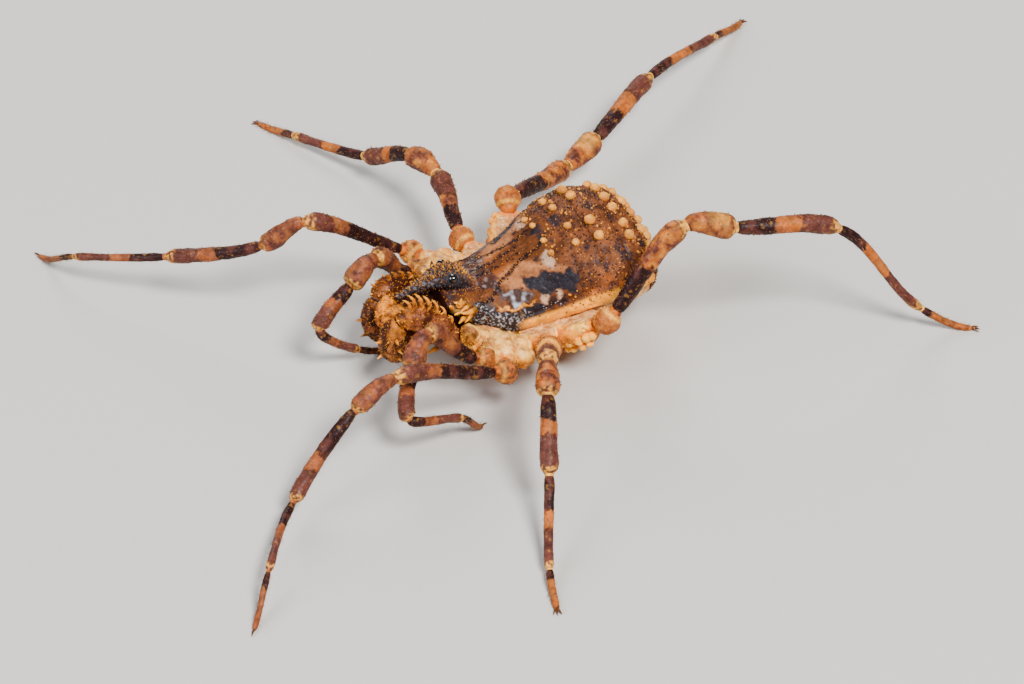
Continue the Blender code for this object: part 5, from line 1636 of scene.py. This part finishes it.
def make_leg(leg, look):
    """One leg: its ball joint and long joints in one skin, its grains and hairs, and its claws."""
    number = int(leg[-1])
    side = -1 if leg.startswith("left") else 1
    draw = np.random.default_rng(LEG_DRAW + number + 10 * (side > 0))
    radius = BALL_RADIUS[number]
    root = mirrored(LEG_ROOTS[number], side)
    outward = first_way(leg)
    ball = ball_sheet(root, radius * 0.99, outward, *BALL_NET)
    rise = (ball.points - np.array(root)) @ np.array(outward) / radius
    wave = ripple(ball.points, 6)
    fine = ripple(ball.points, 18, 2.0)
    ball.paint(look.leg_tan)
    ball.lay(look.leg_orange, soft_step(wave, -0.3, 0.4) * 0.8)
    ball.lay(look.leg_purple, soft_step(wave + fine * 0.6, 0.0, 0.3) * (0.9 if number < 3 else 0.4))
    ball.lay(look.leg_dark, soft_step(wave + fine * 0.6, 0.15, 0.4) * (0.5 if number < 3 else 0.1))
    ball.lay(look.leg_cream, ring_mask(rise, 0.62, 0.16) * (0.35 if number < 3 else 0.75), 0.4)
    ball.lay(look.leg_cream, soft_step(fine, 0.25, 0.5) * 0.2)
    inward = (mirrored(HIP_INNER[number], side) - root).normalized()
    back = (ball.points - np.array(root)) @ np.array(inward) / radius
    ball.lay(look.leg_cream, ring_mask(back, 0.55, 0.14) * 0.85)
    ball.roughen((5, radius * 0.05), (14, radius * 0.035), (32, mm(0.003)))
    sheets = [ball]
    neck = ball_sheet(root + outward * radius * 0.86, radius * 0.52, outward, *NECK_NET)
    neck.paint(look.leg_orange, 0.3)
    neck.cloud(look.leg_dark, (12, 0), (-0.2, 0.3), 0.7)
    sheets.append(neck)
    for step, part in enumerate(LEG_PARTS):
        sheet = leg_sheet(leg, step)
        paint_leg(sheet, part, number, look)
        wide = mm(OUTLINES[part][2][1])
        sheet.roughen((4.5, wide * 0.09), (11, wide * 0.055), (27, mm(0.0035)))
        if part == "tarsus":
            sheet.points[..., 2] = np.maximum(sheet.points[..., 2], 0.0)
        sheets.append(sheet)
    joints = leg_joints(leg)
    for part, place, way in zip(LEG_PARTS, joints[1:-1], joint_ways(leg, joints)[1:-1]):
        knuckle = ball_sheet(place, mm(OUTLINES[part][-1][1]) * LEG_WIDTHS[number] * 0.86, way, *KNUCKLE_NET)
        knuckle.paint(look.leg_cream if number > 2 else look.leg_tan, 0.4)
        knuckle.cloud(look.leg_purple, (12, 0), (0.1, 0.4), 0.6)
        knuckle.roughen((14, mm(0.006)))
        sheets.append(knuckle)
    socket = ball_sheet(root + inward * radius * 0.72, radius * 0.66, inward, *SOCKET_NET)
    socket.paint(look.leg_orange, 0.3)
    socket.cloud(look.leg_tan, (12, 0), (-0.2, 0.3), 0.7)
    sheets.append(socket)
    nodes = tuple(f"{part}_{leg}" for part in ("trochanter", *LEG_PARTS))
    join_skins(sheets, f"leg_skin_{leg}", leg_finish(), "leg", nodes)
    coat = Build()
    for index, (small, hairs, big) in LEG_AMOUNTS.items():
        sheet = sheets[index]
        slim = 1.0 if index < 5 else 0.62
        radii, heights = mm(0.004 * slim, 0.009 * slim), mm(0.005 * slim, 0.013 * slim)
        sow(coat, sheet, draw, small, None, (look.grain_pale, 0.22, 0.4), radii, heights, 0.4, plain=True)
        if big:
            where, blend = soft_step(sheet.normals()[..., 2], -0.3, 0.6) + 0.15, (look.grain_pale, 0.16, 0.4)
            sow(coat, sheet, draw, big, where, blend, mm(0.007, 0.014), mm(0.012, 0.032), 0.6)
        if hairs:
            cells = pick(sheet, hairs, draw)
            tints = colours(look.hair, hairs, draw)
            add_hairs(coat, sheet, cells, draw, mm(0.035, 0.075), mm(0.0028), 1.4, tints)
    coat.finish(f"leg_grains_{leg}", leg_finish(), "leg")
    way = joint_ways(leg, joints)[-1]
    across = way.cross(Vector((0, 0, 1))).normalized()
    horns = []
    for turn in (0,) if number < 3 else (-CLAW_SPREAD, 0, CLAW_SPREAD):
        reach = way * math.cos(math.radians(turn)) + across * math.sin(math.radians(turn))
        begin = joints[-1] - way * mm(0.03) + Vector((0, 0, mm(0.004)))
        tip = joints[-1] + reach * CLAW_LENGTH
        tip.z = mm(0.010)
        horn = spine_sheet(begin, tip, CLAW_RADIUS, mm(0, 0, 0.016), *CLAW_NET, 1.0, 0.10)
        horn.points[..., 2] = np.maximum(horn.points[..., 2], 0.0)
        horn.paint(look.claw, 0.8)
        horns.append(horn)
    join_skins(horns, f"claws_{leg}", claw_finish(), "foot")


# Stage
def aimed(made, place, target):
    """Puts a lamp at a place and turns it to a target."""
    made.location = place
    made.rotation_euler = (Vector(target) - Vector(place)).to_track_quat("-Z", "Y").to_euler()


def make_camera():
    """The camera in the photograph's place."""
    camera = bpy.data.cameras.new("camera")
    camera.lens = CAMERA_LENS
    camera.sensor_width = SENSOR_WIDTH
    camera.clip_start = 0.001
    camera.clip_end = 10.0
    made = bpy.data.objects.new("camera", camera)
    bpy.context.scene.collection.objects.link(made)
    aim = Vector(BODY_PLACE) + Vector(CAMERA_AIM)
    rise = CAMERA_RIGHT.cross(CAMERA_LOOK)
    turn = Matrix((CAMERA_RIGHT, rise, -CAMERA_LOOK)).transposed()
    made.matrix_world = Matrix.Translation(aim - CAMERA_LOOK * CAMERA_DISTANCE) @ turn.to_4x4()
    bpy.context.scene.camera = made


def make_floor(stage):
    """A pale matt floor."""
    half = stage.floor_size / 2
    corners = [(-half, -half, 0), (half, -half, 0), (half, half, 0), (-half, half, 0)]
    mesh = bpy.data.meshes.new("floor")
    mesh.from_pydata(corners, [], [(0, 1, 2, 3)])
    finish = bpy.data.materials.new("floor_matt")
    finish.use_nodes = True
    tree = finish.node_tree
    shader = tree.nodes["Principled BSDF"]
    place = node(tree, "ShaderNodeTexCoord").outputs["Object"]
    spots = node(tree, "ShaderNodeTexNoise", (("Vector", place),), in_2=60.0, in_3=3.0)
    ramp = node(tree, "ShaderNodeValToRGB", (("Fac", spots.outputs["Fac"]),))
    colour = np.array(stage.floor_colour)
    ramp.color_ramp.elements[0].color = (*(colour * 0.97), 1.0)
    ramp.color_ramp.elements[1].color = (*colour, 1.0)
    tree.links.new(ramp.outputs["Color"], shader.inputs["Base Color"])
    shader.inputs["Roughness"].default_value = 0.75
    mesh.materials.append(finish)
    floor = bpy.data.objects.new("floor", mesh)
    bpy.context.scene.collection.objects.link(floor)


def make_lights(stage):
    """A broad key over the camera, a wide fill from the head's side and a lamp behind, all soft."""
    lamps = (
        ("key", mm(10, -105, 150), mm(60), stage.key_power, (1.0, 0.97, 0.93)),
        ("fill", mm(-150, 10, 90), mm(110), stage.key_power * 0.40, (0.93, 0.96, 1.0)),
        ("back", mm(40, 130, 90), mm(80), stage.key_power * 0.22, (1.0, 0.98, 0.95)),
    )
    for name, place, size, power, colour in lamps:
        lamp = bpy.data.lights.new(name, "AREA")
        lamp.shape = "DISK"
        lamp.size = size
        lamp.energy = power
        lamp.color = colour
        made = bpy.data.objects.new(name, lamp)
        bpy.context.scene.collection.objects.link(made)
        aimed(made, place, mm(0, 0, 1))
    world = bpy.data.worlds.new("studio")
    world.use_nodes = True
    sky = world.node_tree.nodes["Background"]
    sky.inputs["Color"].default_value = (*stage.sky_colour, 1.0)
    sky.inputs["Strength"].default_value = stage.sky_strength
    bpy.context.scene.world = world


# Sizes and colours that a user would change
def colour_property(name, colour, description):
    """A colour of the panel."""
    return bpy.props.FloatVectorProperty(
        name=name, description=description, default=colour, size=3, min=0.0, max=1.0, subtype="COLOR"
    )


class HarvestmanLook(bpy.types.PropertyGroup):
    """Colours of the animal's skins, grains and claws."""

    shell_front: colour_property("Shield Front", (0.118, 0.035, 0.008), "Brown of the shield's front half")
    shell_rear: colour_property("Shield Rear", (0.15, 0.047, 0.016), "Pinkish brown of its rear half")
    shell_deep: colour_property("Shield Shade", (0.022, 0.006, 0.003), "Deep brown between the grains")
    shell_tan: colour_property("Shield Tan", (0.4, 0.155, 0.058), "Tan of the smooth fields on the shield")
    # Colour of the painted highlights on the tan fields
    pale: colour_property("Pale Spots", (0.85, 0.56, 0.38), "Pale spots on the tan fields")
    dark: colour_property("Dark Marks", (0.012, 0.012, 0.019), "Blue-black marks and grains")
    margin: colour_property("Margin", (0.97, 0.36, 0.01), "Orange of the shield's margin and the hip's warts")
    # Also painted as a glow on the undersides of the palps' arms
    orange: colour_property("Orange", (0.75, 0.17, 0.006), "Orange stain of the skin")
    bead: colour_property("Beads", (0.66, 0.27, 0.038), "Tan-yellow of the beads on the back")
    grain_gold: colour_property("Gold Grains", (0.66, 0.27, 0.03), "Golden grains of the back and eye mound")
    grain_pale: colour_property("Pale Grains", (0.55, 0.28, 0.11), "Pale grains of the legs")
    cream: colour_property("Cream", (0.97, 0.56, 0.085), "Cream of the hips and the shield's corners")
    pleura: colour_property("Side Skin", (0.66, 0.44, 0.24), "Greyish white skin between shield and hips")
    pink: colour_property("Pink", (0.22, 0.07, 0.035), "Pinkish skin of the tail and the palps")
    hood: colour_property("Eye Mound", (0.02, 0.014, 0.016), "Dark ground of the eye mound and the horn")
    palp_brown: colour_property("Palp Brown", (0.2, 0.055, 0.012), "Brown of the palps")
    # Also the painted shade between the comb's blades and on the jaws behind the comb
    palp_dark: colour_property("Palp Dark", (0.03, 0.007, 0.004), "Dark spots of the palps and their spines")
    palp_cream: colour_property("Palp Cream", (0.72, 0.235, 0.014), "Yellowish cream of the palps")
    leg_dark: colour_property("Leg Dark", (0.018, 0.005, 0.006), "Dark bands of the legs")
    leg_purple: colour_property("Leg Purple", (0.115, 0.034, 0.026), "Purple-brown mottling of the legs")
    # Also the painted shade on the hips of the right side
    leg_tan: colour_property("Leg Tan", (0.36, 0.105, 0.018), "Tan bands of the legs")
    # Also the painted shade in the creases of the flesh
    leg_orange: colour_property("Leg Orange", (0.5, 0.115, 0.008), "Orange in the legs' light bands")
    # Also the painted highlight on top of the last legs' patellae
    leg_cream: colour_property("Leg Cream", (0.88, 0.42, 0.055), "Cream at the legs' joints")
    claw: colour_property("Claws", (0.1, 0.032, 0.008), "Amber brown of the claws and the jaws' fingers")
    hair: colour_property("Hairs", (0.3, 0.16, 0.07), "Straw brown of the fine hairs")


class HarvestmanStage(bpy.types.PropertyGroup):
    """The floor, the lamps and the sky round the animal."""

    floor_size: bpy.props.FloatProperty(
        name="Floor Size", description="Side of the square floor", default=0.6, min=0.05, max=5.0,
        subtype="DISTANCE", unit="LENGTH"
    )
    floor_colour: colour_property("Floor Colour", (0.48, 0.46, 0.44), "Pale colour of the floor")
    sky_colour: colour_property("Sky Colour", (0.92, 0.95, 1.0), "Colour of the light from all round")
    sky_strength: bpy.props.FloatProperty(
        name="Sky Strength", description="Strength of the light from all round", default=0.15,
        min=0.0, max=5.0
    )
    key_power: bpy.props.FloatProperty(
        name="Key Power", description="Power of the main lamp in watts", default=0.80, min=0.0, max=20.0
    )


def made_all(names):
    """Raises an error where a piece that should be in the scene isn't."""
    missing = [name for name in names if name not in bpy.data.objects]
    if missing:
        raise RuntimeError(f"these pieces weren't made: {missing}")
    return {"FINISHED"}


class HARVESTMAN_OT_shield(bpy.types.Operator):
    """Make the back shield with its markings, margin, grains and beads"""

    bl_idname = "harvestman.make_shield"
    bl_label = "Make Shield"

    def execute(self, context):
        make_shield(context.scene.harvestman_look)
        return made_all(("shield_skin", "shield_beads", "shield_grains"))


class HARVESTMAN_OT_tail(bpy.types.Operator):
    """Make the plates behind the shield"""

    bl_idname = "harvestman.make_tail"
    bl_label = "Make Tail Plates"

    def execute(self, context):
        make_tail(context.scene.harvestman_look)
        return made_all(("tail_skin", "tail_grains"))


class HARVESTMAN_OT_belly(bpy.types.Operator):
    """Make the underside with its hips, lobes and warts"""

    bl_idname = "harvestman.make_belly"
    bl_label = "Make Belly and Hips"

    def execute(self, context):
        make_belly(context.scene.harvestman_look)
        return made_all(("belly_skin_and_hips", "belly_grains"))


class HARVESTMAN_OT_hood(bpy.types.Operator):
    """Make the eye mound, its horn and the two eyes"""

    bl_idname = "harvestman.make_hood"
    bl_label = "Make Eye Mound, Horn and Eyes"

    def execute(self, context):
        make_hood(context.scene.harvestman_look)
        make_eyes()
        return made_all(("hood_skin", "hood_grains", "eye_ball_left", "eye_ball_right"))


class HARVESTMAN_OT_palps(bpy.types.Operator):
    """Make both palps with their combs, spears, spikes and claws, and both jaws"""

    bl_idname = "harvestman.make_palps"
    bl_label = "Make Palps and Jaws"

    def execute(self, context):
        for side in (-1, 1):
            make_palp(side, context.scene.harvestman_look)
            make_jaw(side, context.scene.harvestman_look)
        return made_all(("palp_skin_left", "palp_skin_right", "jaw_skin_left", "jaw_skin_right"))


class HARVESTMAN_OT_legs(bpy.types.Operator):
    """Make the eight legs with their bands, grains, hairs and claws"""

    bl_idname = "harvestman.make_legs"
    bl_label = "Make Legs"

    def execute(self, context):
        for leg in STANCE:
            make_leg(leg, context.scene.harvestman_look)
        return made_all([f"leg_skin_{leg}" for leg in STANCE])


class HARVESTMAN_OT_stage(bpy.types.Operator):
    """Make the floor, the soft lamps and the camera"""

    bl_idname = "harvestman.make_stage"
    bl_label = "Make Stage"

    def execute(self, context):
        make_floor(context.scene.harvestman_stage)
        make_lights(context.scene.harvestman_stage)
        make_camera()
        return made_all(("floor", "key", "fill", "back", "camera"))


MAKERS = (
    HARVESTMAN_OT_shield,
    HARVESTMAN_OT_tail,
    HARVESTMAN_OT_belly,
    HARVESTMAN_OT_hood,
    HARVESTMAN_OT_palps,
    HARVESTMAN_OT_legs,
    HARVESTMAN_OT_stage,
)


class HARVESTMAN_PT_panel(bpy.types.Panel):
    """Lists the makers of the harvestman's pieces and its colours"""

    bl_label = "Harvestman"
    bl_idname = "HARVESTMAN_PT_panel"
    bl_space_type = "VIEW_3D"
    bl_region_type = "UI"
    bl_category = "Harvestman"

    def draw(self, context):
        for maker in MAKERS:
            self.layout.operator(maker.bl_idname)
        for settings in (context.scene.harvestman_look, context.scene.harvestman_stage):
            box = self.layout.box()
            for name in settings.bl_rna.properties.keys():
                if name not in ("rna_type", "name"):
                    box.prop(settings, name)


CLASSES = (HarvestmanLook, HarvestmanStage, *MAKERS, HARVESTMAN_PT_panel)


def register():
    for each in CLASSES:
        bpy.utils.register_class(each)
    bpy.types.Scene.harvestman_look = bpy.props.PointerProperty(type=HarvestmanLook)
    bpy.types.Scene.harvestman_stage = bpy.props.PointerProperty(type=HarvestmanStage)


def unregister():
    del bpy.types.Scene.harvestman_stage
    del bpy.types.Scene.harvestman_look
    for each in reversed(CLASSES):
        bpy.utils.unregister_class(each)


def main():
    register()
    bpy.ops.harvestman.make_shield()
    bpy.ops.harvestman.make_tail()
    bpy.ops.harvestman.make_belly()
    bpy.ops.harvestman.make_hood()
    bpy.ops.harvestman.make_palps()
    bpy.ops.harvestman.make_legs()
    bpy.ops.harvestman.make_stage()


if __name__ == "__main__":
    main()
